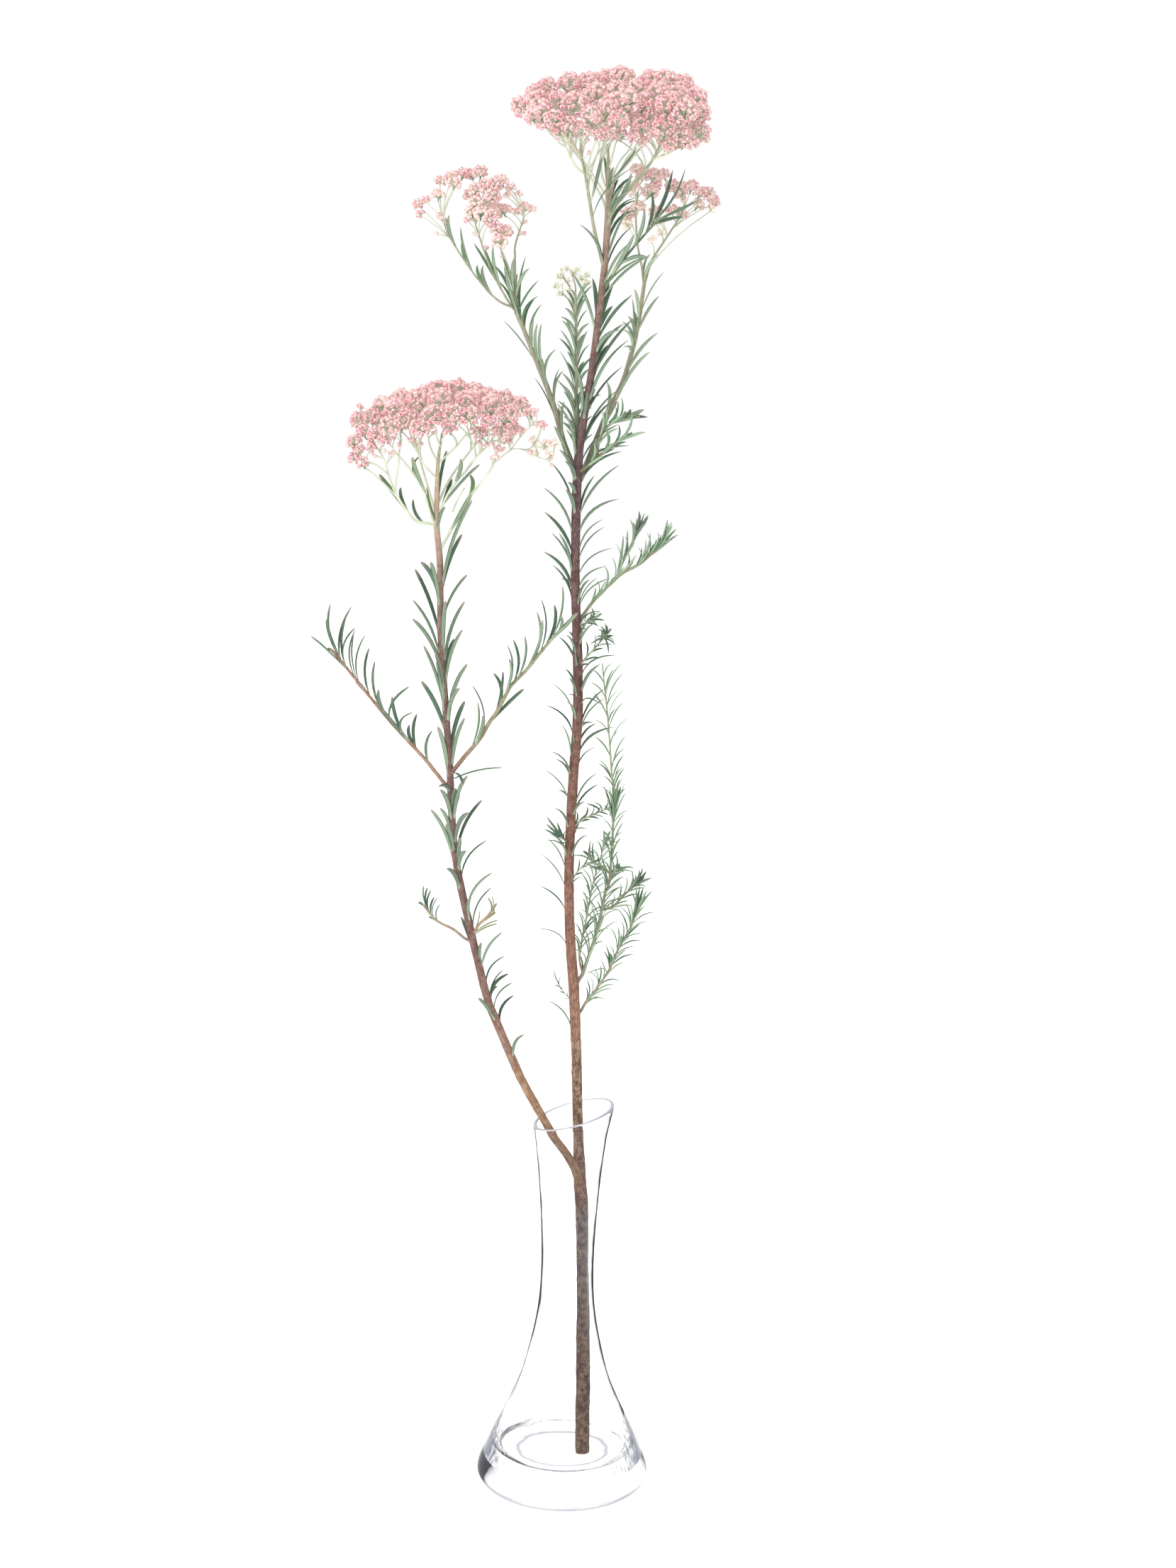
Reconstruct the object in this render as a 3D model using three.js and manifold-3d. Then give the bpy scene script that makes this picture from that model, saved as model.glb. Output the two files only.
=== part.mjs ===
// A dried rice flower branch standing in a clear glass bud vase. Millimetres, +Z up, +X to the
// right of the front view, +Y away from it. The origin is the middle of the vase's underside.
//
// The branch is one cut, forked wooden stem. Its two main stems carry narrow leaves, leafy side
// shoots and flat-topped pink flower heads. The vase is thick clear glass with a slanted rim.

import * as THREE from 'three';
import { mergeVertices } from 'three/addons/utils/BufferGeometryUtils.js';
import Module from 'manifold-3d';

const wasm = await Module();
wasm.setup();

// Driving dimensions

const contactGap = 0.3;          // free space kept between two pieces that touch
const vaseSides = 22;            // facets round the vase
const vaseBaseRadius = 48;       // widest part of the glass foot
const vaseFootRadius = 40;       // flat ring and disc that the vase stands on
const vaseWaistRadius = 14.6;    // narrowest part of the neck
const vaseWall = 2.1;            // thickness of the glass in the neck
const vaseFloor = 15;            // top of the solid glass foot, inside
const rimHeight = 215;           // height of the rim on the axis
const rimSlant = 15.6;           // degrees, the rim is higher at the right
const leafThickness = 0.8;       // at the midrib of all but the narrowest leaves
const budHeight = 1.26;          // a bud's tip, as a share of its cluster's radius
const hollowHeight = 0.64;       // the hollows between the buds, as a share of their height
const plainCluster = 4.2;        // a cluster smaller than this has no hollows
const leastHead = 480;           // cubic millimetres, the least volume of a head of its own
const stalkRadius = 0.65;        // stalk of one bud cluster
const besideReach = 14;          // shoots that start nearer together than this are kept apart

// Colours

const woodColour = 0x8a6349;
const stemColour = 0x6b4640;
const shootColour = 0x6f8a5e;
const darkLeafColour = 0x4d6b50;
const stalkColour = 0xa7ad8e;
const budColour = 0xe59aa6;
const paleBudColour = 0xe3b7ae;
const dryTwigColour = 0xb39a80;
const glassColour = 0xeef3f4;

// Curves. A limb is a list of points [x, y, z, radius] joined by a smooth curve.

function smooth(list, place) {
  const last = list.length - 1;
  const index = Math.min(Math.floor(place), last - 1);
  const share = place - index;
  const before = index > 0 ? list[index - 1] : list[0].map((v, i) => 2 * v - list[1][i]);
  const after = index + 2 <= last ? list[index + 2] : list[last].map((v, i) => 2 * v - list[last - 1][i]);
  return list[index].map((here, i) => {
    const next = list[index + 1][i];
    const slopeIn = (next - before[i]) / 2;
    const slopeOut = (after[i] - here) / 2;
    const square = share * share;
    const cube = square * share;
    return (2 * cube - 3 * square + 1) * here + (cube - 2 * square + share) * slopeIn
      + (3 * square - 2 * cube) * next + (cube - square) * slopeOut;
  });
}

function pointAt(list, place) {
  const [x, y, z] = smooth(list, place);
  return new THREE.Vector3(x, y, z);
}

function directionAt(list, place) {
  const step = 0.02;
  const low = Math.max(place - step, 0);
  const high = Math.min(place + step, list.length - 1);
  return pointAt(list, high).sub(pointAt(list, low)).normalize();
}

function placeAtHeight(list, height) {
  const steps = 12 * (list.length - 1);
  let nearest = 0;
  let least = Infinity;
  for (let i = 0; i <= steps; i++) {
    const place = i / 12;
    const miss = Math.abs(smooth(list, place)[2] - height);
    if (miss < least) {
      least = miss;
      nearest = place;
    }
  }
  return nearest;
}

// Solids

// The lathe leaves triangles of no size where its profile meets the axis.
function withoutSlivers(indices) {
  const kept = [];
  for (let i = 0; i < indices.length; i += 3) {
    const [a, b, c] = indices.slice(i, i + 3);
    if (a !== b && b !== c && c !== a) kept.push(a, b, c);
  }
  return kept;
}

function toSolid(geometry) {
  const bare = geometry.clone();
  bare.deleteAttribute('normal');
  bare.deleteAttribute('uv');
  const merged = mergeVertices(bare, 1e-4);
  const mesh = new wasm.Mesh({
    numProp: 3,
    vertProperties: new Float32Array(merged.attributes.position.array),
    triVerts: new Uint32Array(withoutSlivers(merged.index.array)),
  });
  return new wasm.Manifold(mesh);
}

function fuse(solids) {
  let row = solids;
  while (row.length > 1) {
    const next = [];
    for (let i = 0; i < row.length; i += 2) {
      next.push(i + 1 < row.length ? row[i].add(row[i + 1]) : row[i]);
    }
    row = next;
  }
  return row[0];
}

function largestBody(solid) {
  const bodies = solid.decompose();
  bodies.sort((a, b) => b.volume() - a.volume());
  return bodies[0];
}

function toMesh(name, solid, colour, finish = {}) {
  const data = solid.getMesh();
  const geometry = new THREE.BufferGeometry();
  geometry.setAttribute('position', new THREE.BufferAttribute(new Float32Array(data.vertProperties), 3));
  geometry.setIndex(new THREE.BufferAttribute(new Uint32Array(data.triVerts), 1));
  geometry.computeVertexNormals();
  const looks = { color: colour, roughness: 0.75, metalness: 0, ...finish };
  const material = new THREE.MeshStandardMaterial(looks);
  const mesh = new THREE.Mesh(geometry, material);
  mesh.name = name;
  return mesh;
}

// A tube that follows a limb's curve and tapers with its radii, from one place on it to another.
function tube(list, { sides = 6, from = 0, to = list.length - 1, perPoint = 1, extra = 0 } = {}) {
  const rings = Math.max(1, Math.round((to - from) * perPoint));
  const shape = new THREE.CylinderGeometry(1, 1, 1, sides, rings);
  const positions = shape.attributes.position;
  let across = new THREE.Vector3(0, 1, 0);
  const frames = [];
  for (let i = 0; i <= rings; i++) {
    const place = from + (to - from) * i / rings;
    const heading = directionAt(list, place);
    across = across.clone().addScaledVector(heading, -across.dot(heading)).normalize();
    const side = new THREE.Vector3().crossVectors(heading, across);
    frames.push({ centre: pointAt(list, place), radius: smooth(list, place)[3] + extra, across, side });
  }
  for (let i = 0; i < positions.count; i++) {
    const ring = Math.round((positions.getY(i) + 0.5) * rings);
    const { centre, radius, across: first, side } = frames[ring];
    const moved = centre.clone()
      .addScaledVector(first, positions.getX(i) * radius)
      .addScaledVector(side, -positions.getZ(i) * radius);
    positions.setXYZ(i, moved.x, moved.y, moved.z);
  }
  return toSolid(shape);
}

// A leaf is a narrow three-sided spindle with a keel below. It starts inside the stem.
function leafSolid({ root, bend, tip, across, width }) {
  const shape = new THREE.SphereGeometry(1, 3, 2);
  const positions = shape.attributes.position;
  const widest = along(root, bend, tip, 0.45);
  const below = new THREE.Vector3().crossVectors(across, tip.clone().sub(root)).normalize();
  const keel = Math.min(leafThickness, 0.45 * width + 0.2);
  const cornerZ = Math.sqrt(3) / 2;
  for (let i = 0; i < positions.count; i++) {
    const level = positions.getY(i);
    let moved = level > 0.5 ? tip : root;
    if (Math.abs(level) < 0.5) {
      moved = widest.clone().addScaledVector(across, 0.5 * width * positions.getZ(i) / cornerZ);
      if (positions.getX(i) < -0.9) moved.addScaledVector(below, keel);
    }
    positions.setXYZ(i, moved.x, moved.y, moved.z);
  }
  return toSolid(shape);
}

// Seeded chance: the same number from 0 to 1 for the same index and seed every time.
function chance(index, seed) {
  const wave = Math.sin(index * 12.9898 + seed * 78.233) * 43758.5453;
  return wave - Math.floor(wave);
}

// Limbs of the branch, each a list of [x, y, z, radius]

const rightMain = [
  [10.5, -4, 15.3, 4], [10.5, -3, 38, 4], [10, -1, 79, 3.8], [8.6, 0, 126, 3.35], [7, 0, 162, 3.6],
  [5.5, 0, 181, 3.4], [4, 0, 203, 2.85], [2, 1, 244, 2.8], [-0.5, 2, 284, 2.9], [-4, 3, 324, 2.7],
  [-5, 4, 363, 2.65], [-4, 5, 402, 2.7], [-2.5, 6, 440, 2.7], [-4, 7, 479, 2.6], [-6, 8, 516, 2.4],
  [-6, 8, 569, 2.4], [-4, 9, 591, 2.1], [0, 9, 620, 1.9], [3, 9, 650, 1.8], [5, 9, 672, 1.7],
  [6, 10, 693, 1.6], [6, 10, 715, 1.35], [5, 10, 735, 0.8],
];
const leftMain = [
  [6, 0, 168, 2.6], [4, -3, 181, 2.5], [-2, -6, 192, 2.3], [-11.5, -9, 206, 2.15], [-20, -12, 223, 2.25],
  [-28, -13, 239, 2.3], [-42, -14, 271, 2.3], [-48, -14, 287, 2.2], [-58, -15, 327, 2.1],
  [-66, -17, 366, 2], [-70, -18, 420, 1.85], [-75, -19, 480, 1.75], [-76, -20, 518, 1.7],
  [-78, -21, 540, 1.5], [-78, -21, 569, 1.1], [-76, -22, 587, 0.8],
];

// Side shoots. The rows of a shoot's leaves are [height of the leaf's foot, tip x, tip z, lean], as
// seen from the front at the stem's depth. A lean is how far the tip stands behind (or, negative,
// before) the foot; without one it follows from the leaf's full length. Tips are [x, z] of the
// leaves of the tuft at a shoot's end.

const eye = [4, -1373, 682];     // the front view's viewpoint, at eye height over the flower heads

const rightLeaves = [
  [269, -15, 279], [313, -22, 319], [333, -21, 343], [347, -21, 361], [356, -18, 370], [366, -18, 368],
  [380, -14, 386], [392, -12, 396], [397, -20, 407], [407, -17, 417], [415, -11, 432], [431, -20, 442],
  [437, -9, 444], [439, -17, 454], [450, -8, 457], [418, -5, 427, -4], [458, -5, 470, -5], [470, -14, 479],
  [503, -18, 517], [509, -23, 524], [516, -15, 534], [520, -19, 534], [527, -23, 545], [540, -24, 558],
  [548, -12, 557], [553, -20, 571], [566, -13, 572], [566, -16, 578], [646, -13, 671], [650, -1, 667],
  [364, 5, 372], [371, 3, 383], [388, 10, 400], [393, 9, 406], [412, 8, 420], [421, 17, 431], [431, 6, 433],
  [433, 13, 447], [438, 12, 452], [448, 10, 443], [453, 9, 465], [464, 18, 470], [500, 2, 510],
  [501, 13, 511], [515, 14, 527], [525, 9, 538], [539, 16, 553], [547, 3, 565], [550, 16, 571],
  [565, 8, 572], [566, 17, 578], [572, 21, 581], [602, 16, 622], [618, 8, 633], [628, 16, 644],
  [632, 14, 641], [642, 10, 653], [640, 20, 659], [645, 8, 665, -4],
];
const leftLeaves = [
  [256, -27, 264], [272, -33, 286], [280, -34, 293], [287, -36, 298], [294, -38, 308], [304, -40, 321],
  [306, -51, 315, -4], [327, -46, 346], [330, -57, 340], [341, -46, 354], [356, -49, 372], [357, -60, 366],
  [372, -52, 394], [373, -59, 387], [384, -64, 397], [390, -66, 400, -5], [417, -62, 438], [427, -62, 447],
  [441, -61, 467], [459, -68, 480], [461, -64, 485], [471, -63, 500], [476, -73, 500, -5], [495, -62, 514],
  [510, -65, 535], [514, -60, 550], [275, -52, 284], [310, -62, 329], [350, -70, 356], [366, -79, 388],
  [368, -71, 380], [377, -74, 389, -4], [386, -74, 399], [410, -76, 433], [437, -85, 457],
  [448, -77, 468, -5], [452, -84, 476], [456, -78, 472], [470, -90, 490], [477, -90, 500], [487, -89, 516],
  [500, -81, 520], [505, -86, 520], [512, -87, 535],
];

const shoots = [
  {
    name: 'left_outer_shoot', parent: leftMain, radii: [1.1, 0.6], width: 2, reach: 20,
    limb: [[-69, -18, 399], [-74, -18, 405], [-82, -19, 415], [-90, -21, 424], [-99, -23, 434],
      [-108, -25, 445], [-116, -26, 455], [-123, -28, 464], [-130, -30, 473], [-133, -30, 475]],
    leaves: [[417, -79, 431], [424, -87, 440], [424, -91, 434], [431, -100, 449], [428, -106, 443],
      [440, -91, 455], [442, -107, 453], [447, -109, 468], [453, -112, 475], [452, -119, 458],
      [460, -114, 482], [462, -120, 482], [463, -119, 485], [468, -142, 481], [470, -124, 491],
      [473, -121, 497], [474, -132, 498]],
  },
  {
    name: 'left_crossing_shoot', parent: leftMain, radii: [1.2, 0.7], width: 2, reach: 20,
    limb: [[-70, -18, 406], [-62, -20, 417], [-54, -21, 427], [-49, -21, 436], [-44, -22, 444],
      [-38, -22, 456], [-30, -23, 465], [-24, -23, 473], [-16, -23, 483], [-9, -24, 490], [-6, -24, 495]],
    leaves: [[412, -62, 402], [426, -55, 447], [437, -58, 456], [441, -31, 455], [446, -42, 464],
      [450, -47, 463], [457, -39, 471], [462, -37, 481], [464, -31, 483], [470, -22, 492], [475, -25, 496],
      [479, -23, 503], [482, -16, 500], [483, -4, 496], [486, -12, 510]],
  },
  {
    name: 'left_low_twig', parent: leftMain, radii: [0.8, 0.6], width: 1.4, reach: 10,
    limb: [[-55, -15, 315], [-60, -17, 318], [-66, -18, 323], [-72, -19, 326], [-76, -20, 329],
      [-80, -21, 334], [-82, -22, 337]],
    tips: [[-76, 340], [-80, 345], [-85, 338]],
  },
  {
    name: 'left_dry_twig', parent: leftMain, radii: [0.8, 0.6], width: 1.4, reach: 8,
    colour: dryTwigColour,
    limb: [[-56, -15, 318.5], [-52, -17, 326], [-48, -17, 330], [-44, -18, 334]],
    tips: [[-51, 338], [-47, 340], [-43, 327]],
  },
  {
    name: 'right_arching_shoot', parent: rightMain, radii: [1.7, 1], width: 1.6, reach: 20, plane: 10,
    limb: [[-6, 8, 562], [-10, 12, 572], [-14, 14, 582], [-20, 18, 601], [-28, 21, 620], [-32, 22, 629],
      [-36, 24, 638], [-41, 26, 648]],
    forks: [
      { from: [-41, 26, 648], limb: [[-42, 26, 655], [-45, 27, 670], [-50, 28, 681]], radii: [0.9, 0.7] },
      { from: [-41, 26, 648], limb: [[-48, 27, 658], [-56, 28, 673], [-63, 28, 692]], radii: [0.9, 0.7] },
      {
        from: [-42, 26, 650], radii: [0.8, 0.6],
        limb: [[-52, 25, 655], [-64, 25, 668], [-76, 25, 685], [-80, 25, 694]],
      },
      { from: [-41, 26, 648], limb: [[-42, 29, 674], [-42, 30, 683], [-38, 32, 697]], radii: [0.8, 0.6] },
    ],
    leaves: [[578, -19, 590], [598, -30, 615], [628, -47, 644], [586, -17, 600], [604, -17, 620],
      [613, -26, 625], [618, -19, 630], [620, -27, 643], [626, -29, 643], [638, -27, 653], [643, -31, 655],
      [646, -29, 657], [648, -36, 677], [648, -52, 664]],
  },
  {
    name: 'right_back_shoot', parent: rightMain, radii: [1.8, 1], width: 1.7, reach: 18, plane: 10,
    limb: [[-5, 9, 562], [-1, 13, 571], [5, 21, 587], [9, 25, 597], [13, 29, 605], [17, 33, 614],
      [20, 37, 625], [22.5, 40, 635], [24.5, 43, 647], [26.5, 46, 664]],
    forks: [
      {
        from: [26.5, 46, 663], radii: [0.9, 0.7],
        limb: [[25, 47, 673], [22.5, 48, 684], [21, 47, 700], [22, 46, 716]],
      },
      {
        from: [26.5, 46, 663], radii: [0.9, 0.7],
        limb: [[30, 47, 676], [36, 49, 686], [44, 51, 699], [47, 51, 706]],
      },
    ],
    leaves: [[600, 8, 614], [617, 30, 630], [624, 34, 640], [631, 16, 632], [635, 15, 643], [640, 18, 652],
      [645, 34, 659], [650, 21, 662], [656, 36, 671], [660, 33, 680]],
  },
  {
    name: 'right_front_shoot', parent: rightMain, radii: [1, 0.6], width: 2, reach: 22,
    limb: [[5, 9, 662], [9, 6, 671], [15, 4, 681], [22, 2, 688], [30, 0, 697], [37, -2, 702], [48, -4, 708]],
    leaves: [[668, 20, 686], [674, 20, 694], [680, 28, 678], [688, 24, 703], [692, 27, 713], [697, 37, 720],
      [700, 44, 722], [704, 45, 699]],
  },
  {
    name: 'right_back_left_shoot', parent: rightMain, radii: [1.2, 0.7], width: 1.5, reach: 16, plane: 10,
    limb: [[-5, 9, 571], [-6.5, 13, 580], [-7.5, 17, 590], [-8, 20, 599], [-8, 23, 611], [-8.5, 26, 624],
      [-9, 29, 639], [-9.5, 31, 650], [-10, 33, 658]],
    forks: [
      { from: [-10, 33, 657], limb: [[-13, 34, 662], [-17, 34, 667]], radii: [0.7, 0.6] },
    ],
    leaves: [[588, -18, 602], [600, -18, 614], [612, -17, 629], [617, -14, 624], [627, -17, 640],
      [632, -14, 645], [618, -4, 624], [627, -3, 640]],
    cymes: [[-18, 34, 668, 3.2], [-11, 34, 669, 2.6]],
  },
  {
    name: 'right_middle_shoot', parent: rightMain, radii: [1, 0.6], width: 1.2, reach: 12, plane: 8,
    limb: [[-4, 8, 486], [-2, 11, 489], [4, 16, 497], [9, 19, 502], [14, 22, 507], [20, 25, 512],
      [28, 29, 516], [34, 31, 521], [40, 32, 524], [44, 33, 528]],
    forks: [
      { from: [16, 23, 509], limb: [[19, 26, 517], [23, 28, 525], [28, 31, 536]], radii: [0.7, 0.6] },
    ],
    leaves: [[500, 8, 506], [508, 14, 512], [512, 19, 524], [516, 25, 523], [519, 29, 529], [522, 33, 536],
      [525, 38, 535], [528, 42, 535]],
    tips: [[45, 534], [48, 531], [24, 541], [28, 545], [32, 543]],
  },
  {
    name: 'right_small_shoot', parent: rightMain, radii: [0.9, 0.6], width: 1.2, reach: 10, plane: 10,
    limb: [[-6, 8, 566], [-1, 4.5, 570], [3, 4, 574], [8, 4, 578], [13, 4, 582], [17, 4, 585], [22, 4, 588]],
    tips: [[18, 599], [24, 598], [28, 600], [30, 595], [28, 588], [13, 592]],
  },
  {
    name: 'right_tall_shoot', parent: rightMain, radii: [1.2, 0.6], width: 1.2, reach: 14, plane: 7,
    limb: [[-0.5, 2, 286], [2, 6, 290], [4, 8, 293], [6, 11, 299], [10, 15, 311], [13, 19, 323],
      [15, 21, 335], [17, 22, 341], [18, 24, 356], [18.5, 26, 376], [19, 27, 390], [17, 28, 400],
      [15, 29, 420], [13, 31, 438], [11, 33, 452], [10, 34, 461]],
    forks: [
      { from: [13.5, 19.5, 326], limb: [[20, 23, 328], [27, 26, 335], [33, 28, 340]], radii: [0.7, 0.6] },
      { from: [17.5, 23, 346], limb: [[14, 22, 349], [8, 18, 354], [5, 16, 359]], radii: [0.7, 0.6] },
    ],
    leaves: [[303, -3, 307], [307, 0, 319], [321, 1, 330], [328, 2, 339], [315, 23, 324], [341, 25, 349],
      [352, 24, 356], [375, 25, 384], [388, 22, 399], [400, 24, 409], [404, 9, 412], [412, 24, 427],
      [424, 24, 437], [434, 22, 447], [440, 5, 450], [446, 21, 460], [452, 22, 464]],
    tips: [[9, 472], [14, 471], [29, 351], [33, 353], [37, 351], [39, 347]],
  },
  {
    name: 'right_low_shoot', parent: rightMain, radii: [0.9, 0.6], width: 1.2, reach: 11, plane: 20,
    limb: [[0.3, 2, 271], [3, 4, 272], [6, 6, 277], [9, 7, 281], [12, 8, 285], [18, 10, 294], [22, 11, 304],
      [26, 12, 312], [30, 12, 320], [33, 13, 330]],
    leaves: [[277, 12, 280], [284, 10, 293], [290, 3, 293], [294, 21, 300], [297, 17, 304], [299, 28, 304],
      [306, 18, 317], [309, 31, 311], [312, 35, 319], [316, 22, 327], [319, 26, 331], [324, 38, 329]],
    tips: [[31, 341], [36, 341], [41, 338]],
  },
];

// Tufts are short shoots that hold together with the right stem.
const tufts = [
  { limb: [[-5, 4, 366], [-10, 1, 371]], tips: [[-18, 382], [-12, 380], [-17, 376]] },
  { limb: [[-5, 4, 373], [0, 4, 379], [6, 2, 383], [10, 1, 385]], tips: [[3, 391], [13, 389], [16, 384]] },
  { limb: [[-3, 6, 462], [5, 4, 473], [12, 2, 482]], tips: [[6, 480], [9, 483], [15, 481], [17, 475]] },
  { limb: [[-4, 7, 484], [2, 3, 488], [5, 1, 490]], tips: [[6, 488], [9, 493], [3, 496]] },
  { limb: [[0, 2, 278], [-5, 1, 283], [-10, 0, 289]], tips: [[-12, 297], [-7, 294]] },
];

// Flower heads. A cluster of buds is [x, y, z, radius].

const topHead = {
  name: 'top_head', middle: 8, core: [6, 5, 754, 42, 26, 6],
  stalks: [
    [[5, 9, 671, 1.2], [0, 5, 690, 1.1], [-3, 0, 700, 1], [-7, -5, 720, 0.9], [-9, -8, 735, 0.7]],
    [[-6, -4, 716, 0.8], [-14, -9, 727, 0.7], [-18, -12, 740, 0.6]],
    [[5, 9, 686, 1.2], [12, 5, 703, 1], [20, 0, 716, 0.9], [29, -6, 732, 0.7]],
    [[6, 10, 690, 1.1], [4, 17, 705, 1], [-6, 24, 722, 0.8], [-14, 28, 738, 0.7]],
    [[6, 10, 696, 1.1], [14, 17, 710, 1], [28, 24, 727, 0.8], [38, 26, 740, 0.7]],
    [[6, 10, 705, 1], [16, 9, 719, 0.9], [34, 8, 735, 0.8], [46, 6, 745, 0.7]],
    [[6, 10, 707, 1], [-6, 12, 724, 0.9], [-20, 10, 742, 0.8], [-28, 8, 748, 0.7]],
  ],
  clusters: [
    [-39, 4, 752, 5.8], [-32, 8, 758, 6.5], [-27, 14, 762, 5.5], [-30, -14, 749, 6.8], [-21, -4, 754, 6.5],
    [-22, -20, 745, 5], [-15, 12, 763, 7.3], [-12, -12, 752, 7.2], [-14, -22, 742, 4.3], [-4, 12, 764, 7.3],
    [-4, -24, 747, 5.3], [4, 14, 765, 7.3], [11, 10, 767, 7.3], [6, -16, 752, 6.4], [14, -18, 755, 6.8],
    [0, -24, 738, 3.2], [10, -26, 745, 5.3], [10, 24, 740, 4.4], [16, -8, 746, 3.6], [19, 4, 761, 6.5],
    [22, -12, 754, 5.7], [26, 14, 766, 6.6], [34, 10, 766, 6.9], [42, 8, 764, 6.9], [49, 4, 758, 6.5],
    [51, 0, 751, 6.1], [35, -18, 754, 7.1], [43, -20, 750, 7.1], [33, -22, 743, 5.7], [41, -16, 740, 5.7],
    [51, -4, 741, 6.1], [36, -18, 734, 3.6], [29, -18, 739, 3.2], [-31, -3, 754, 6.5], [-2, -2, 758, 7],
    [9, -3, 759, 7], [30, -3, 759, 7.2], [40, -5, 757, 7],
  ],
};
const leftHead = {
  name: 'left_head', middle: -16, core: [-76, -21, 598, 38, 19, 5],
  stalks: [
    [[-76.5, -20, 524, 1], [-81, -21, 528, 0.9], [-86, -22, 536, 0.9], [-97, -23, 550, 0.8],
      [-104, -24, 563, 0.8], [-108, -25, 572, 0.6]],
    [[-77, -20, 530, 1], [-82, -23, 543, 0.9], [-88, -26, 560, 0.8], [-94, -28, 578, 0.7]],
    [[-78, -21, 558, 0.9], [-83, -19, 569, 0.8], [-89, -17, 582, 0.7], [-95, -15, 590, 0.6]],
    [[-77, -20.5, 541, 1], [-71, -18, 555, 0.9], [-60, -16, 569, 0.8], [-50, -14, 582, 0.7]],
    [[-76, -20, 527, 1], [-71, -23, 542, 0.9], [-66, -27, 557, 0.8], [-60, -31, 574, 0.7]],
    [[-76, -20, 522, 1.1], [-69, -21, 540, 1], [-60, -23, 552, 0.9], [-46, -25, 570, 0.8],
      [-40, -26, 584, 0.7]],
    [[-77, -20.5, 536, 1], [-82, -14, 552, 0.9], [-88, -6, 570, 0.8], [-92, 0, 584, 0.6]],
    [[-77, -20.5, 549, 1], [-72, -13, 561, 0.9], [-62, -5, 576, 0.8], [-54, -2, 586, 0.6]],
    [[-58, -23.5, 554, 0.8], [-42, -20, 563, 0.7], [-30, -19, 576, 0.6], [-27, -19, 586, 0.6]],
  ],
  clusters: [
    [-120, -20, 600, 2.5], [-119, -16, 592, 5.1], [-116, -24, 585, 4.7], [-116, -30, 576, 4.4],
    [-118, -30, 570, 3.3], [-107, -14, 599, 6.2], [-98, -10, 603, 6.2], [-102, -36, 591, 6.1],
    [-108, -26, 585, 4], [-93, -34, 595, 6.5], [-87, -10, 604, 7], [-86, -42, 590, 5.4],
    [-79, -8, 607, 7.3], [-69, -8, 607, 7.3], [-79, -40, 596, 6.8], [-69, -42, 597, 6.1],
    [-60, -8, 605, 7.3], [-61, -42, 597, 5.4], [-53, -12, 603, 7.3], [-45, -12, 604, 6.6],
    [-36, -14, 604, 4.4], [-32, -18, 599, 4], [-43, -36, 597, 6.1],
    [-51, -40, 594, 4.3], [-45, -34, 588, 5.1], [-37, -30, 590, 3.3], [-25, -20, 593, 2.6],
    [-100, -23, 599, 6.2], [-89, -22, 602, 6.8], [-77, -25, 603, 7], [-63, -25, 603, 7], [-51, -25, 601, 6.6],
    [-41, -25, 598, 5],
  ],
};
const archingHead = {
  name: 'arching_head', shoot: 'right_arching_shoot',
  clusters: [
    [-83, 24, 707, 3.7], [-82, 26, 714, 3], [-76, 24, 716, 3.7], [-74, 18, 713, 3.7], [-70, 26, 718, 3.7],
    [-65, 28, 718, 3.7], [-61, 26, 719, 4.1], [-63, 22, 710, 4.1], [-58, 24, 712, 4.4], [-53, 20, 713, 4.4],
    [-50, 28, 715, 3.7], [-54, 18, 707, 4.4], [-63, 22, 704, 4.1], [-65, 24, 699, 4.1], [-60, 20, 698, 4.4],
    [-54, 22, 698, 4.1], [-56, 20, 694, 3], [-52, 22, 691, 4.1], [-47, 24, 689, 3.7], [-50, 20, 684, 4.4],
    [-93, 28, 702, 3], [-89, 28, 704, 2.2], [-38, 32, 702, 3.4], [-45, 30, 712, 2.6], [-67, 28, 695, 2.2],
    [-56, 32, 703, 4.6], [-66, 30, 707, 4.2], [-49, 32, 700, 4.2],
  ],
};
const backHead = {
  name: 'back_head', shoot: 'right_back_shoot',
  clusters: [
    [21, 46, 723, 3.7], [24, 42, 720, 3.7], [30, 44, 720, 4.5], [35, 48, 721, 3.4], [31, 40, 715, 2.6],
    [20, 44, 714, 3], [40, 50, 715, 3.8], [45, 48, 714, 4.1], [50, 48, 715, 4.1], [55, 50, 712, 3.6],
    [59, 52, 712, 3.8], [62, 54, 708, 3.4], [54, 56, 706, 3.4], [44, 52, 711, 3], [22, 54, 704, 3.8],
    [17, 56, 700, 3.8], [32, 56, 702, 3.6], [40, 54, 703, 3], [44, 56, 702, 2.6], [28, 54, 712, 4.5],
  ],
};

// Where the other pieces are, so that leaves and stalks can keep clear of them.

const taken = [];

function take(owner, start, end, radius) {
  taken.push({ owner, line: new THREE.Line3(start, end), radius });
}

function takeLimb(owner, list, from = 0, to = list.length - 1) {
  const steps = Math.ceil((to - from) * 3);
  for (let i = 0; i < steps; i++) {
    const low = from + (to - from) * i / steps;
    const high = from + (to - from) * (i + 1) / steps;
    take(owner, pointAt(list, low), pointAt(list, high), smooth(list, low)[3]);
  }
}

function isClear(owner, points, reach) {
  const nearest = new THREE.Vector3();
  return taken.every((other) => other.owner === owner || points.every((point) => {
    other.line.closestPointToPoint(point, true, nearest);
    return nearest.distanceTo(point) > other.radius + reach;
  }));
}

// A point seen at x, z in the plane y = plane, moved along the line of sight to another depth.
function seenAt(x, z, plane, depth) {
  const share = (depth - eye[1]) / (plane - eye[1]);
  return new THREE.Vector3(eye[0] + (x - eye[0]) * share, depth, eye[2] + (z - eye[2]) * share);
}

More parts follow.
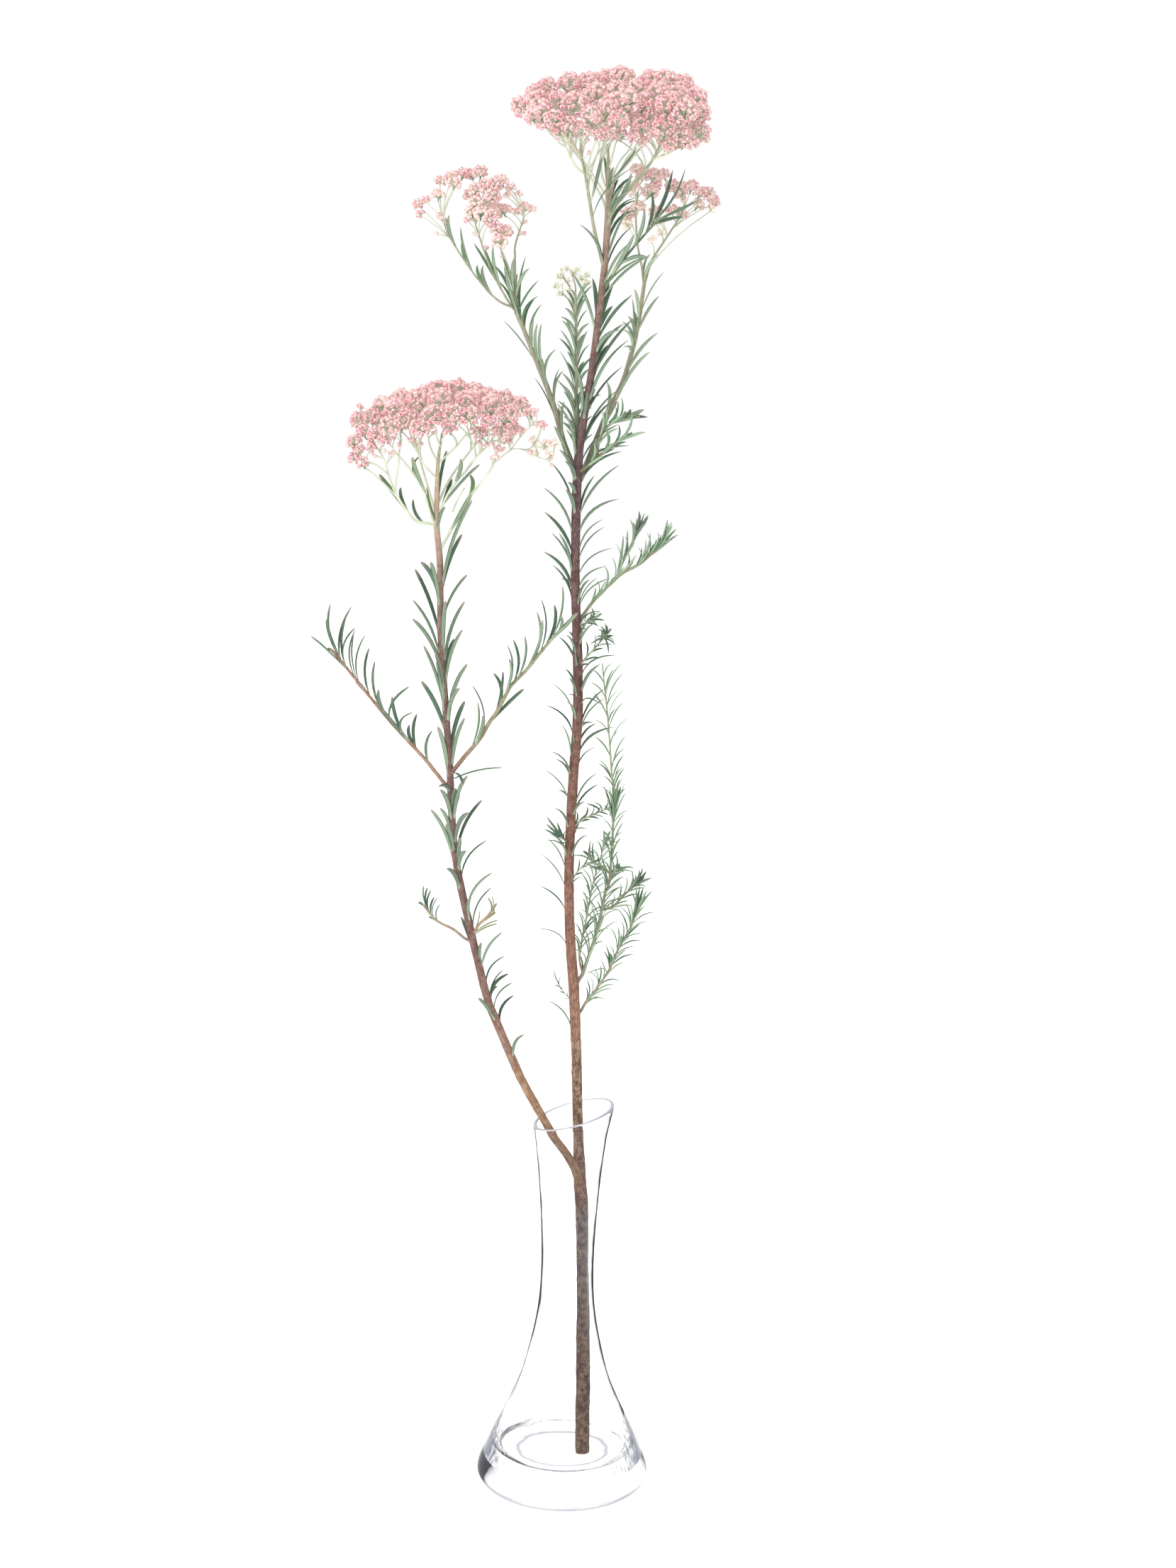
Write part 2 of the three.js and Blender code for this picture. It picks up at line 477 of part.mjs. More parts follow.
function along(start, bend, end, share) {
  const rest = 1 - share;
  return start.clone().multiplyScalar(rest * rest)
    .addScaledVector(bend, 2 * rest * share).addScaledVector(end, share * share);
}

// Places one leaf on a limb. It is turned towards or away from the front until it is clear.
function growLeaf(owner, limb, place, [tipX, tipZ, lean], { width, reach, plane, seed }) {
  const root = pointAt(limb, place);
  const tangent = directionAt(limb, place);
  const flat = seenAt(tipX, tipZ, plane ?? root.y, root.y).distanceTo(root);
  const rest = Math.sqrt(Math.max(reach * reach - flat * flat, 0.06 * flat * flat));
  const turned = lean ?? Math.min(rest, 0.9 * flat + 5) * (chance(seed, 1) < 0.5 ? -1 : 1);
  for (const share of [1, -1, 0.5, -0.5, 1.4, -1.4, 0]) {
    const tip = seenAt(tipX, tipZ, plane ?? root.y, root.y + turned * share);
    const length = tip.distanceTo(root);
    const hugging = root.clone().addScaledVector(tangent, 0.5 * length);
    const bend = root.clone().lerp(tip, 0.5).lerp(hugging, 0.25 + 0.35 * chance(seed, 2));
    const points = [0.3, 0.45, 0.6, 0.75, 0.88, 1].map((step) => along(root, bend, tip, step));
    if (isClear(owner, points, 0.5 * width + 2 * contactGap)) {
      const straight = tip.clone().sub(root).normalize();
      const across = new THREE.Vector3().crossVectors(tangent, straight).normalize();
      across.applyAxisAngle(straight, 0.3 + 0.9 * chance(seed, 3));
      points.slice(1).forEach((point, i) => take(owner, points[i], point, 0.5 * width));
      return leafSolid({ root, bend, tip, across, width });
    }
  }
  return null;
}

function growRow(owner, limb, rows, options) {
  const leaves = rows.map(([foot, tipX, tipZ, lean], i) => {
    const place = placeAtHeight(limb, seenHeight(foot, limb, options.plane));
    return growLeaf(owner, limb, place, [tipX, tipZ, lean], { ...options, seed: options.seed + i });
  });
  return leaves.filter((leaf) => leaf !== null);
}

// The height of a leaf's foot, read in another plane than its limb's, on the limb itself.
function seenHeight(height, limb, plane) {
  if (plane === undefined) return height;
  const depth = smooth(limb, placeAtHeight(limb, height))[1];
  return seenAt(0, height, plane, depth).z;
}

function growTuft(owner, limb, tips, options) {
  const last = limb.length - 1;
  const leaves = tips.map(([tipX, tipZ], i) => {
    const place = last - 0.6 * (tips.length - 1 - i) / tips.length - 0.02;
    return growLeaf(owner, limb, place, [tipX, tipZ], { ...options, seed: options.seed + i });
  });
  return leaves.filter((leaf) => leaf !== null);
}

function withRadii(points, [thick, thin]) {
  return points.map((point, i) => [...point, thick + (thin - thick) * i / (points.length - 1)]);
}

// A cluster of buds: a star-like ball whose corners stand out as buds between lower hollows. The
// smallest ones are plain.
function budCluster([x, y, z, radius], index) {
  const corners = new THREE.OctahedronGeometry(1, 0).attributes.position;
  const points = [];
  const isPlain = radius < plainCluster;
  for (let i = 0; i < corners.count; i += 3) {
    const [a, b, c] = [0, 1, 2].map((k) => new THREE.Vector3().fromBufferAttribute(corners, i + k));
    const hollow = a.clone().add(b).add(c).normalize().multiplyScalar(hollowHeight);
    points.push(...(isPlain ? [a, b, c] : [a, b, hollow, b, c, hollow, c, a, hollow]));
  }
  const shape = new THREE.BufferGeometry().setFromPoints(points);
  const size = radius * budHeight;
  shape.scale(size, size, size).rotateX(6 * chance(index, 4)).rotateZ(6 * chance(index, 5));
  return toSolid(shape.translate(x, y, z));
}

// A thin stalk from the nearest lower point of the limbs up to a cluster's underside.
function stalkTo([x, y, z, radius], limbs, isLoose) {
  const centre = new THREE.Vector3(x, y, z);
  let best = null;
  let least = Infinity;
  limbs.forEach((limb) => {
    for (let place = 0; place <= limb.length - 1; place += 0.25) {
      const point = pointAt(limb, place);
      const miss = point.distanceTo(centre) + (point.z > z - radius ? 30 : 0);
      if (miss < least) {
        least = miss;
        best = point;
      }
    }
  });
  const length = best.distanceTo(centre);
  const reach = isLoose ? 0.3 * radius : 0.75 * radius;
  const top = centre.clone().lerp(best, reach / length);
  return [best, top].map((point) => [point.x, point.y, point.z, stalkRadius]);
}

// The pieces, and the stretches of the two main stems that they hold

const cutHeights = { rightFork: 258, leftFork: 245, rightTop: 668, leftTop: 519 };
const atHeight = {
  rightFork: placeAtHeight(rightMain, cutHeights.rightFork),
  leftFork: placeAtHeight(leftMain, cutHeights.leftFork),
  rightTop: placeAtHeight(rightMain, cutHeights.rightTop),
  leftTop: placeAtHeight(leftMain, cutHeights.leftTop),
};
const jointStep = 0.012;         // along a main stem's list, for the gap where two pieces meet

takeLimb('woody_trunk', rightMain, 0, atHeight.rightFork);
takeLimb('woody_trunk', leftMain, 0, atHeight.leftFork);
takeLimb('right_stem', rightMain, atHeight.rightFork, atHeight.rightTop);
takeLimb('left_stem', leftMain, atHeight.leftFork, atHeight.leftTop);
takeLimb('top_head_stalks', rightMain, atHeight.rightTop);
takeLimb('left_head_stalks', leftMain, atHeight.leftTop);
shoots.forEach((shoot) => {
  shoot.list = withRadii(shoot.limb, shoot.radii);
  shoot.lists = [shoot.list];
  (shoot.forks ?? []).forEach(({ from, limb, radii }) => {
    shoot.lists.push(withRadii([from, ...limb], radii));
  });
  shoot.lists.forEach((list) => takeLimb(shoot.name, list));
});
tufts.forEach((tuft) => {
  tuft.list = withRadii(tuft.limb, [1, 0.7]);
  takeLimb('right_stem', tuft.list);
});

// Flower heads: clusters that hold together are one body of buds, and the others stay on their
// stalks. A dense head has a flat core inside, which its clusters stand out of.
function headSolids({ name, owner, clusters, limbs, cutters, core }) {
  const solids = clusters.map((cluster, i) => budCluster(cluster, i));
  const heart = core ? [flatCore(core)] : [];
  const bodies = fuse([...heart, ...solids]).decompose().filter((body) => body.volume() > leastHead);
  const holders = solids.map((solid) => bodies.findIndex((body) => body.intersect(solid).volume() > 1));
  const looseness = holders.map((holder) => holder < 0);
  const isStalked = holders.map((holder, i) => (
    holder < 0 || i % 4 === 0 || holders.indexOf(holder) === i
  ));
  const stalks = clusters.map((cluster, i) => stalkTo(cluster, limbs, looseness[i]))
    .filter((list, i) => isStalked[i]);
  const fatStalks = stalks.map((list) => tube(list, { sides: 3, extra: 2 * contactGap }));
  const cutter = fuse([...fatStalks, ...cutters]);
  clusters.forEach(([x, y, z, radius], i) => {
    const centre = new THREE.Vector3(x, y, z);
    take(looseness[i] ? owner : name, centre, centre, radius * budHeight);
  });
  stalks.forEach((list) => takeLimb(owner, list));
  return {
    buds: bodies.map((body) => largestBody(body.subtract(cutter))),
    stalks: [...stalks.map((list) => tube(list, { sides: 3 })), ...solids.filter((solid, i) => looseness[i])],
  };
}

function flatCore([x, y, z, halfWidth, halfDepth, halfHeight]) {
  const shape = new THREE.IcosahedronGeometry(1, 1);
  return toSolid(shape.scale(halfWidth, halfDepth, halfHeight).translate(x, y, z));
}

// A head's clusters, with the large ones of its front repeated behind its middle.
function mirrored({ clusters, middle }) {
  const front = clusters.filter(([, y, , radius]) => middle - y > 12 && radius > 4);
  const behind = front.map(([x, y, z, radius], i) => (
    [x + 4 * chance(i, 6) - 2, 2 * middle - y, z - 1, radius]
  ));
  return [...clusters, ...behind];
}

const gap = { extra: contactGap };
const topCore = [rightMain.slice(-5), ...topHead.stalks];
const leftCore = [leftMain.slice(-4), ...leftHead.stalks];
topHead.stalks.forEach((list) => takeLimb('top_head_stalks', list));
leftHead.stalks.forEach((list) => takeLimb('left_head_stalks', list));
const top = headSolids({
  name: 'top_head_buds', owner: 'top_head_stalks', clusters: mirrored(topHead), limbs: topCore,
  core: topHead.core, cutters: topCore.map((list) => tube(list, gap)),
});
const left = headSolids({
  name: 'left_head_buds', owner: 'left_head_stalks', clusters: mirrored(leftHead), limbs: leftCore,
  core: leftHead.core, cutters: leftCore.map((list) => tube(list, gap)),
});
const shootHeads = [archingHead, backHead].map((head) => {
  const { lists } = shoots.find(({ name }) => name === head.shoot);
  return headSolids({
    name: `${head.name}_buds`, owner: head.shoot, clusters: head.clusters, limbs: lists.slice(1),
    cutters: lists.map((list) => tube(list, { extra: contactGap, sides: 5 })),
  });
});

const group = new THREE.Group();

function add(name, solid, colour, finish) {
  group.add(toMesh(name, solid, colour, finish));
}

// Clear glass bud vase: thick foot, slim waist, a mouth cut at a slant
const outerProfile = [
  [vaseFootRadius, 0], [44.5, 1], [vaseBaseRadius, 4.5], [47.6, 8.5], [43.7, 18], [31.8, 43.9], [24.8, 61],
  [20.2, 78], [15.8, 103.5], [vaseWaistRadius, 128.7], [17.4, 183], [19.9, 203], [21.5, 209], [24.4, 226],
];
const innerProfile = outerProfile.slice(5).map(([radius, height]) => [radius - vaseWall, height]).reverse();
const floorProfile = [[36.8, 22], [32.5, vaseFloor], [0, vaseFloor]];
const profile = [[0, 0], ...outerProfile, ...innerProfile, ...floorProfile, [0, 0]];
const profilePoints = profile.map(([radius, height]) => new THREE.Vector2(radius, height));
const vaseShape = new THREE.LatheGeometry(profilePoints, vaseSides);
vaseShape.rotateX(Math.PI / 2);
const slab = new THREE.BoxGeometry(120, 120, 60);
slab.translate(0, 0, 30);
slab.rotateY(-THREE.MathUtils.degToRad(rimSlant));
slab.translate(0, 0, rimHeight);
add('glass_vase', toSolid(vaseShape).subtract(toSolid(slab)), glassColour, {
  roughness: 0.05, transparent: true, opacity: 0.35,
});

// Woody trunk: the bare lower part of the branch, forked inside the neck of the vase
add('woody_trunk', fuse([
  tube(rightMain, { sides: 8, to: atHeight.rightFork - jointStep }),
  tube(leftMain, { sides: 6, to: atHeight.leftFork - jointStep }),
]), woodColour);

// The two leafy main stems, with the tufts that grow straight from the right one
const rightTube = tube(rightMain, { sides: 5, from: atHeight.rightFork, to: atHeight.rightTop - jointStep });
const leftTube = tube(leftMain, { sides: 5, from: atHeight.leftFork, to: atHeight.leftTop - jointStep });
const rightRow = growRow('right_stem', rightMain, rightLeaves, { width: 1.7, reach: 19, seed: 100 });
const leftRow = growRow('left_stem', leftMain, leftLeaves, { width: 2.1, reach: 24, seed: 300 });
const tuftSolids = tufts.flatMap(({ list, tips }, i) => [
  tube(list, { sides: 4 }),
  ...growTuft('right_stem', list, tips, { width: 1.4, reach: 11, seed: 500 + 10 * i }),
]);
add('right_stem', fuse([rightTube, ...rightRow, ...tuftSolids]), darkLeafColour);
add('left_stem', fuse([leftTube, ...leftRow]), darkLeafColour);

// Side shoots, each cut clear of the stem that it grows from and of the shoots beside it
const around = { sides: 8, perPoint: 2, extra: 2 * contactGap };
const fatRight = tube(rightMain, { from: 6, ...around });
const fatLeft = tube(leftMain, { from: 4, ...around });
shoots.forEach((shoot, i) => {
  const { name, parent, list, lists, leaves = [], tips = [], cymes = [], colour = shootColour } = shoot;
  const options = { width: shoot.width, reach: shoot.reach, plane: shoot.plane, seed: 600 + 50 * i };
  const rows = growRow(name, list, leaves, options);
  const tuft = growTuft(name, lists[lists.length - 1], tips, { ...options, seed: options.seed + 30 });
  const headStalks = shootHeads[[archingHead.shoot, backHead.shoot].indexOf(name)]?.stalks ?? [];
  const buds = cymes.map((cluster, j) => budCluster(cluster, 400 + j));
  const beside = shoots.slice(0, i).filter((other) => (
    pointAt(other.list, 0).distanceTo(pointAt(list, 0)) < besideReach
  ));
  const cutters = beside.map((other) => tube(other.list, { sides: 5, to: 3, extra: contactGap }));
  const wood = lists.map((part) => tube(part, { sides: 4 }));
  const whole = fuse([...wood, ...rows, ...tuft, ...headStalks, ...buds]);
  const cutter = fuse([parent === rightMain ? fatRight : fatLeft, ...cutters]);
  add(name, largestBody(whole.subtract(cutter)), colour);
});

// Flower heads: stalks, and the buds over them
add('top_head_stalks', fuse([
  tube(rightMain, { sides: 5, from: atHeight.rightTop }),
  ...topHead.stalks.map((list) => tube(list, { sides: 4 })), ...top.stalks,
]), stalkColour);
add('left_head_stalks', fuse([
  tube(leftMain, { sides: 5, from: atHeight.leftTop }),
  ...leftHead.stalks.map((list) => tube(list, { sides: 4 })), ...left.stalks,
]), stalkColour);
top.buds.forEach((solid, i) => add(i ? `top_head_buds_${i + 1}` : 'top_head_buds', solid, budColour));
left.buds.forEach((solid, i) => add(i ? `left_head_buds_${i + 1}` : 'left_head_buds', solid, budColour));
shootHeads.forEach(({ buds }, i) => {
  const { name } = [archingHead, backHead][i];
  buds.forEach((solid, j) => add(`${name}_buds_${j + 1}`, solid, paleBudColour));
});

export default group;
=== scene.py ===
# A dried rice flower branch in a clear glass bud vase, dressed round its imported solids.
# Points are in millimetres in the part's own frame, and turn to metres when a mesh is made.

import math

import bpy
import numpy as np
from mathutils import Matrix, Vector


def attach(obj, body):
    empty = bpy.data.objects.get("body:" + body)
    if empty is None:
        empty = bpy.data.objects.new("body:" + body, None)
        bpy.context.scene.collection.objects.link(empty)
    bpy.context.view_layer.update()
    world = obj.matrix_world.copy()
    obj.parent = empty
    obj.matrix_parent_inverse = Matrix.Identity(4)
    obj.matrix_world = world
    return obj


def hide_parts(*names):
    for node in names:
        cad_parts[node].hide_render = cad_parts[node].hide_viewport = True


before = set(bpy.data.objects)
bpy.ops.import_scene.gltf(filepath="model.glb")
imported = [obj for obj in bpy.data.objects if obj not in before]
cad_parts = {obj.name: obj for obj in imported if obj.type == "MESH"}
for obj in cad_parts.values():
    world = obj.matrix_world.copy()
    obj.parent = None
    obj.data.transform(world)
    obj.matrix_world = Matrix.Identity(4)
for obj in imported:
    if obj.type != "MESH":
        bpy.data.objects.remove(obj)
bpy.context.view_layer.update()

# The view. The photograph is taken from the height of the flower heads, looking a little down
# at the branch, with the camera turned slightly about its own line of sight.
eye = np.array([4.0, -1373.0, 682.0])
look_down = math.radians(11.58)
side_tilt = math.radians(1.6)
camera_data = bpy.data.cameras.new("photo_camera")
camera_data.lens = 60
camera_data.sensor_width = 36
camera = bpy.data.objects.new("photo_camera", camera_data)
camera.matrix_world = (
    Matrix.Translation(Vector(eye / 1000))
    @ Matrix.Rotation(math.pi / 2 - look_down, 4, "X")
    @ Matrix.Rotation(side_tilt, 4, "Z")
)
bpy.context.scene.collection.objects.link(camera)
bpy.context.scene.camera = camera
bpy.context.scene.view_settings.view_transform = "Standard"


# The studio. A white floor runs into an even white surround, and one wide soft light stands
# at the upper left in front, so that the branch is bright with hardly a shadow round it.
def srgb(red, green, blue):
    """A colour as a screen shows it, 0 to 255, as Blender's linear colour."""
    shares = [value / 255 for value in (red, green, blue)]
    return [s / 12.92 if s < 0.04045 else ((s + 0.055) / 1.055) ** 2.4 for s in shares] + [1]


def new_material(name, **sockets):
    """A material of one Principled shader, with values set on the sockets named."""
    material = bpy.data.materials.new(name)
    material.use_nodes = True
    shader = material.node_tree.nodes["Principled BSDF"]
    for socket, value in sockets.items():
        shader.inputs[socket.replace("_", " ")].default_value = value
    return material


world = bpy.data.worlds.new("white_surround")
world.use_nodes = True
world.node_tree.nodes["Background"].inputs["Color"].default_value = (1, 1, 1, 1)
world.node_tree.nodes["Background"].inputs["Strength"].default_value = 1.0
bpy.context.scene.world = world

floor_half = 4.0
floor_mesh = bpy.data.meshes.new("white_floor")
floor_mesh.from_pydata(
    [(x * floor_half, y * floor_half, -0.0004) for x, y in ((-1, -1), (1, -1), (1, 1), (-1, 1))],
    [],
    [(0, 1, 2, 3)],
)
floor = bpy.data.objects.new("white_floor", floor_mesh)
bpy.context.scene.collection.objects.link(floor)
floor_mesh.materials.append(new_material(
    "white_floor", Base_Color=(0.2, 0.2, 0.2, 1), Roughness=0.9,
    Emission_Color=(1, 1, 1, 1), Emission_Strength=1.2,
))

lamp_data = bpy.data.lights.new("soft_light", "AREA")
lamp_data.size = 1.4
lamp_data.energy = 26
lamp = bpy.data.objects.new("soft_light", lamp_data)
lamp.location = (-1.1, -1.5, 1.7)
lamp.rotation_euler = (Vector((0, 0, 0.45)) - lamp.location).to_track_quat("-Z", "Y").to_euler()
bpy.context.scene.collection.objects.link(lamp)


# The vase. A bud vase of clear glass, blown in one piece: a thick solid foot, a slim waist and
# a mouth that flares a little and is cut at a slant, with its lip melted round.
def curve(points, places):
    """Points of the smooth line through a list of points, at places counted along the list."""
    points = np.asarray(points, float)
    last = len(points) - 1
    ends = np.vstack([2 * points[0] - points[1], points, 2 * points[-1] - points[-2]])
    places = np.asarray(places, float)
    index = np.clip(np.floor(places).astype(int), 0, last - 1)
    share = (places - index)[:, None]
    before, here, after, beyond = (ends[index + k] for k in range(4))
    square, cube = share**2, share**3
    return (
        (2 * cube - 3 * square + 1) * here
        + (cube - 2 * square + share) * (after - before) / 2
        + (3 * square - 2 * cube) * after
        + (cube - square) * (beyond - here) / 2
    )


def skin(rings, start=None, end=None):
    """A closed surface over a row of rings, each end closed by a fan round a point."""
    count, sides = rings.shape[:2]
    first = np.arange(sides)
    second = (first + 1) % sides
    rows = np.arange(count - 1)[:, None] * sides
    quads = np.stack([rows + first, rows + second, rows + second + sides, rows + first + sides], 2)
    start = rings[0].mean(0) if start is None else start
    end = rings[-1].mean(0) if end is None else end
    points = np.vstack([rings.reshape(-1, 3), start, end])
    total = count * sides
    last = total - sides
    fans = np.vstack([
        np.stack([np.full(sides, total), second, first], 1),
        np.stack([np.full(sides, total + 1), last + first, last + second], 1),
    ])
    return {"points": points, "quads": quads.reshape(-1, 4), "fans": fans}


def make_piece(name, shapes, slot, *nodes):
    """One object from many shapes, in place of the CAD nodes named. Each shape holds its material,
    and may hold marks, three numbers at each point for that material to read."""
    offset = 0
    points, faces, marks, kinds = [], [], [], []
    materials = list(dict.fromkeys(shape["material"] for shape in shapes))
    for shape in shapes:
        count = len(shape["points"])
        points.append(shape["points"])
        marks.append(shape.get("marks", np.zeros((count, 3))))
        for part in (shape["quads"], shape["fans"]):
            faces.extend((part + offset).tolist())
            kinds.append(np.full(len(part), materials.index(shape["material"])))
        offset += count
    mesh = bpy.data.meshes.new(name)
    mesh.from_pydata(np.vstack(points) / 1000, [], faces)
    layer = mesh.attributes.new("marks", "FLOAT_VECTOR", "POINT")
    layer.data.foreach_set("vector", np.vstack(marks).astype(np.float32).ravel())
    mesh.polygons.foreach_set("material_index", np.concatenate(kinds).astype(np.int32))
    mesh.polygons.foreach_set("use_smooth", np.ones(len(faces), bool))
    for material in materials:
        mesh.materials.append(material)
    mesh.update()
    piece = bpy.data.objects.new(name, mesh)
    bpy.context.scene.collection.objects.link(piece)
    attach(piece, "root")
    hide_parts(*nodes)
    return piece


def add_node(material, kind, inputs, **settings):
    """A shader node with its inputs set to values, or linked to other nodes' outputs."""
    node = material.node_tree.nodes.new(kind)
    for setting, value in settings.items():
        setattr(node, setting, value)
    for socket, value in inputs.items():
        if isinstance(value, bpy.types.NodeSocket):
            material.node_tree.links.new(value, node.inputs[socket])
        else:
            node.inputs[socket].default_value = value
    return node


def arithmetic(material, operation, *values):
    """The result of a sum with numbers or other nodes' outputs."""
    return add_node(material, "ShaderNodeMath", dict(enumerate(values)), operation=operation).outputs[0]


def noise(material, place, scale, detail=2.0, roughness=0.5):
    """Soft uneven patches, as a number from 0 to 1."""
    inputs = {"Vector": place, "Scale": scale, "Detail": detail, "Roughness": roughness}
    return add_node(material, "ShaderNodeTexNoise", inputs).outputs["Fac"]


def bumps(material, height, strength, distance):
    """A normal that rises and falls with a height."""
    inputs = {"Height": height, "Strength": strength, "Distance": distance}
    return add_node(material, "ShaderNodeBump", inputs).outputs["Normal"]


def ramp(material, source, stops):
    """A colour that changes with a number, through stops of (place, colour)."""
    node = add_node(material, "ShaderNodeValToRGB", {"Fac": source})
    elements = node.color_ramp.elements
    first, *between, last = stops
    for element, (place, colour) in ((elements[0], first), (elements[-1], last)):
        element.position = place
        element.color = colour
    for place, colour in between:
        elements.new(place).color = colour
    return node.outputs["Color"]


def mix(material, share, first, second, blend="MIX"):
    """One colour mixed with another."""
    inputs = {0: share, 6: first, 7: second}
    return add_node(material, "ShaderNodeMix", inputs, data_type="RGBA", blend_type=blend).outputs[2]


def finish_with(material, colour, normal=None):
    """Links a colour, and a normal if there is one, to the material's shader."""
    shader = material.node_tree.nodes["Principled BSDF"]
    material.node_tree.links.new(colour, shader.inputs["Base Color"])
    if normal is not None:
        material.node_tree.links.new(normal, shader.inputs["Normal"])
    return material


vase_sides = 96
waist_height = 128.7
rim_height = 215.0
rim_slant = math.tan(math.radians(15.6))
neck_wall = 2.1
lip_radius = 0.85
foot_line = [
    (0.01, 0.5), (24, 0.5), (33, 0.35), (38, 0.1), (40, 0.03), (43, 0.35), (46, 1.7), (47.5, 3.6),
    (48, 6),
]
side_points = [
    (48, 6), (47.5, 9), (46, 12.9), (43.7, 18), (40.1, 26.7), (36, 35.3), (31.8, 43.9), (24.8, 61),
    (20.4, 78), (17.5, 92), (15.8, 103.5), (14.9, 115), (14.6, 128.7), (15, 145), (15.9, 162),
    (17.6, 183), (19.9, 203), (21.7, 212), (24.4, 226),
]
bowl_line = [
    (29.2, 43.9), (33.3, 35.3), (36.6, 27.5), (37.3, 23.5), (36.2, 19), (33, 16.2), (28, 15.1), (14, 15),
    (0.01, 15),
]
# How many rings of points each stretch of the glass has, from the middle of the underside up to
# the lip and down again inside to the middle of the floor.
foot_rings, wall_rings, neck_rings, lip_rings, bore_rings, bowl_rings = 25, 44, 28, 6, 20, 27
side_line = curve(side_points, np.linspace(0, len(side_points) - 1, 240))
around_vase = np.linspace(0, 2 * math.pi, vase_sides, endpoint=False)


def wall_radius(height):
    """The outside radius of the side at a height."""
    return np.interp(height, side_line[:, 1], side_line[:, 0])


def level_ring(radius, height):
    """A ring of the vase at one height."""
    level = np.full(vase_sides, height)
    return np.stack([radius * np.cos(around_vase), radius * np.sin(around_vase), level], 1)


def slanted_ring(share, inset, rise=0):
    """A ring of the neck. Its share of the way up to the slanted rim is the same all round."""
    top = np.full(vase_sides, rim_height)
    for _ in range(8):
        top = rim_height + rim_slant * wall_radius(top) * np.cos(around_vase)
    height = waist_height + share * (top - lip_radius - waist_height)
    radius = wall_radius(height) - inset
    return np.stack([radius * np.cos(around_vase), radius * np.sin(around_vase), height + rise], 1)


def level_rings(line, count):
    """Level rings along a line of (radius, height) points."""
    return [level_ring(*point) for point in curve(line, np.linspace(0, len(line) - 1, count))]


side_foot, bore_foot = 7.5, 62
neck_shares = np.linspace(0.04, 1, neck_rings)
vase_rings = level_rings(foot_line, foot_rings)
vase_rings += [level_ring(wall_radius(z), z) for z in np.linspace(side_foot, waist_height, wall_rings)]
vase_rings += [slanted_ring(share, 0) for share in neck_shares]
for turn in np.linspace(0.2, math.pi - 0.2, lip_rings):
    vase_rings.append(slanted_ring(1, lip_radius * (1 - math.cos(turn)), lip_radius * math.sin(turn)))
for share in neck_shares[::-1]:
    vase_rings.append(slanted_ring(share, 2 * lip_radius + (neck_wall - 2 * lip_radius) * (1 - share)))
for z in np.linspace(waist_height, bore_foot, bore_rings):
    vase_rings.append(level_ring(wall_radius(z) - neck_wall, z))
vase_rings += level_rings(bowl_line, bowl_rings)


white, black = (1, 1, 1, 1), (0, 0, 0, 1)
faint_shine = (0.2, 0.2, 0.22, 1)


def glass_material(
    name, white_to, dark_from, edge, clarity=0.0, waves=0.0, fineness=70.0, lean=0.0, bands=None, flow=1.0
):
    """Clear glass that turns to an edge colour where its surface is seen edge on. This edge colour is painted
    shade, standing in for the dark lines that clear glass shows along its edges. These lines are uneven by
    waves of some fineness, which flow makes longer up the glass. They are wider towards one side by a lean,
    which paints more shade on that side, and narrower at the heights where bands are light."""
    material = new_material(name, Roughness=0.0, IOR=1.5, Specular_Tint=faint_shine)
    facing = add_node(material, "ShaderNodeLayerWeight", {"Blend": 0.5}).outputs["Facing"]
    place = add_node(material, "ShaderNodeTexCoord", {}).outputs["Object"]
    parts = add_node(material, "ShaderNodeSeparateXYZ", {"Vector": place}).outputs
    flowing = add_node(
        material, "ShaderNodeVectorMath", {0: place, 1: (1, 1, flow)}, operation="MULTIPLY"
    ).outputs["Vector"]
    patches = noise(material, flowing, fineness)
    greys = [(height, (value, value, value, 1)) for height, value in bands or [(0.0, 0.0), (1.0, 0.0)]]
    narrower = ramp(material, parts["Z"], greys)
    share = facing
    changes = [(patches, waves, -waves / 2), (parts["X"], lean, 0.0), (narrower, -1.0, 0.0)]
    for value, weight, shift in changes:
        weighted = arithmetic(material, "MULTIPLY_ADD", value, weight, shift)
        share = arithmetic(material, "ADD", share, weighted)
    least = (clarity, clarity, clarity, 1)
    # Where the share is high the glass loses its clearness and takes the edge colour: painted shade.
    clear = ramp(material, share, [(0.0, white), (white_to, white), (dark_from, least)])
    shine = arithmetic(material, "MULTIPLY", clear, 0.5)
    shader = material.node_tree.nodes["Principled BSDF"]
    material.node_tree.links.new(clear, shader.inputs["Transmission Weight"])
    material.node_tree.links.new(shine, shader.inputs["Specular IOR Level"])
    return finish_with(material, ramp(material, share, [(0.0, white), (white_to, white), (dark_from, edge)]))


def floor_glass(name, tint, ring=None):
    """Glass with a tint, or clear but for a thin uneven ring of the tint at a radius in metres. The tint is
    painted shade, the dark lines that the vase's floor shows through the glass.
    """
    material = new_material(
        name, Base_Color=tint, Roughness=0.0, IOR=1.5, Transmission_Weight=1.0, Specular_Tint=faint_shine
    )
    if ring is None:
        return material
    place = add_node(material, "ShaderNodeTexCoord", {}).outputs["Object"]
    flat = add_node(
        material, "ShaderNodeVectorMath", {0: place, 1: (1, 1, 0)}, operation="MULTIPLY"
    ).outputs["Vector"]
    radius = add_node(material, "ShaderNodeVectorMath", {0: flat}, operation="LENGTH").outputs["Value"]
    uneven = arithmetic(material, "MULTIPLY_ADD", noise(material, place, 120.0), 0.004, radius)
    stops = [(-0.0014, white), (-0.0008, tint), (0.0004, tint), (0.0018, white)]
    return finish_with(material, ramp(material, uneven, [(ring + off, colour) for off, colour in stops]))
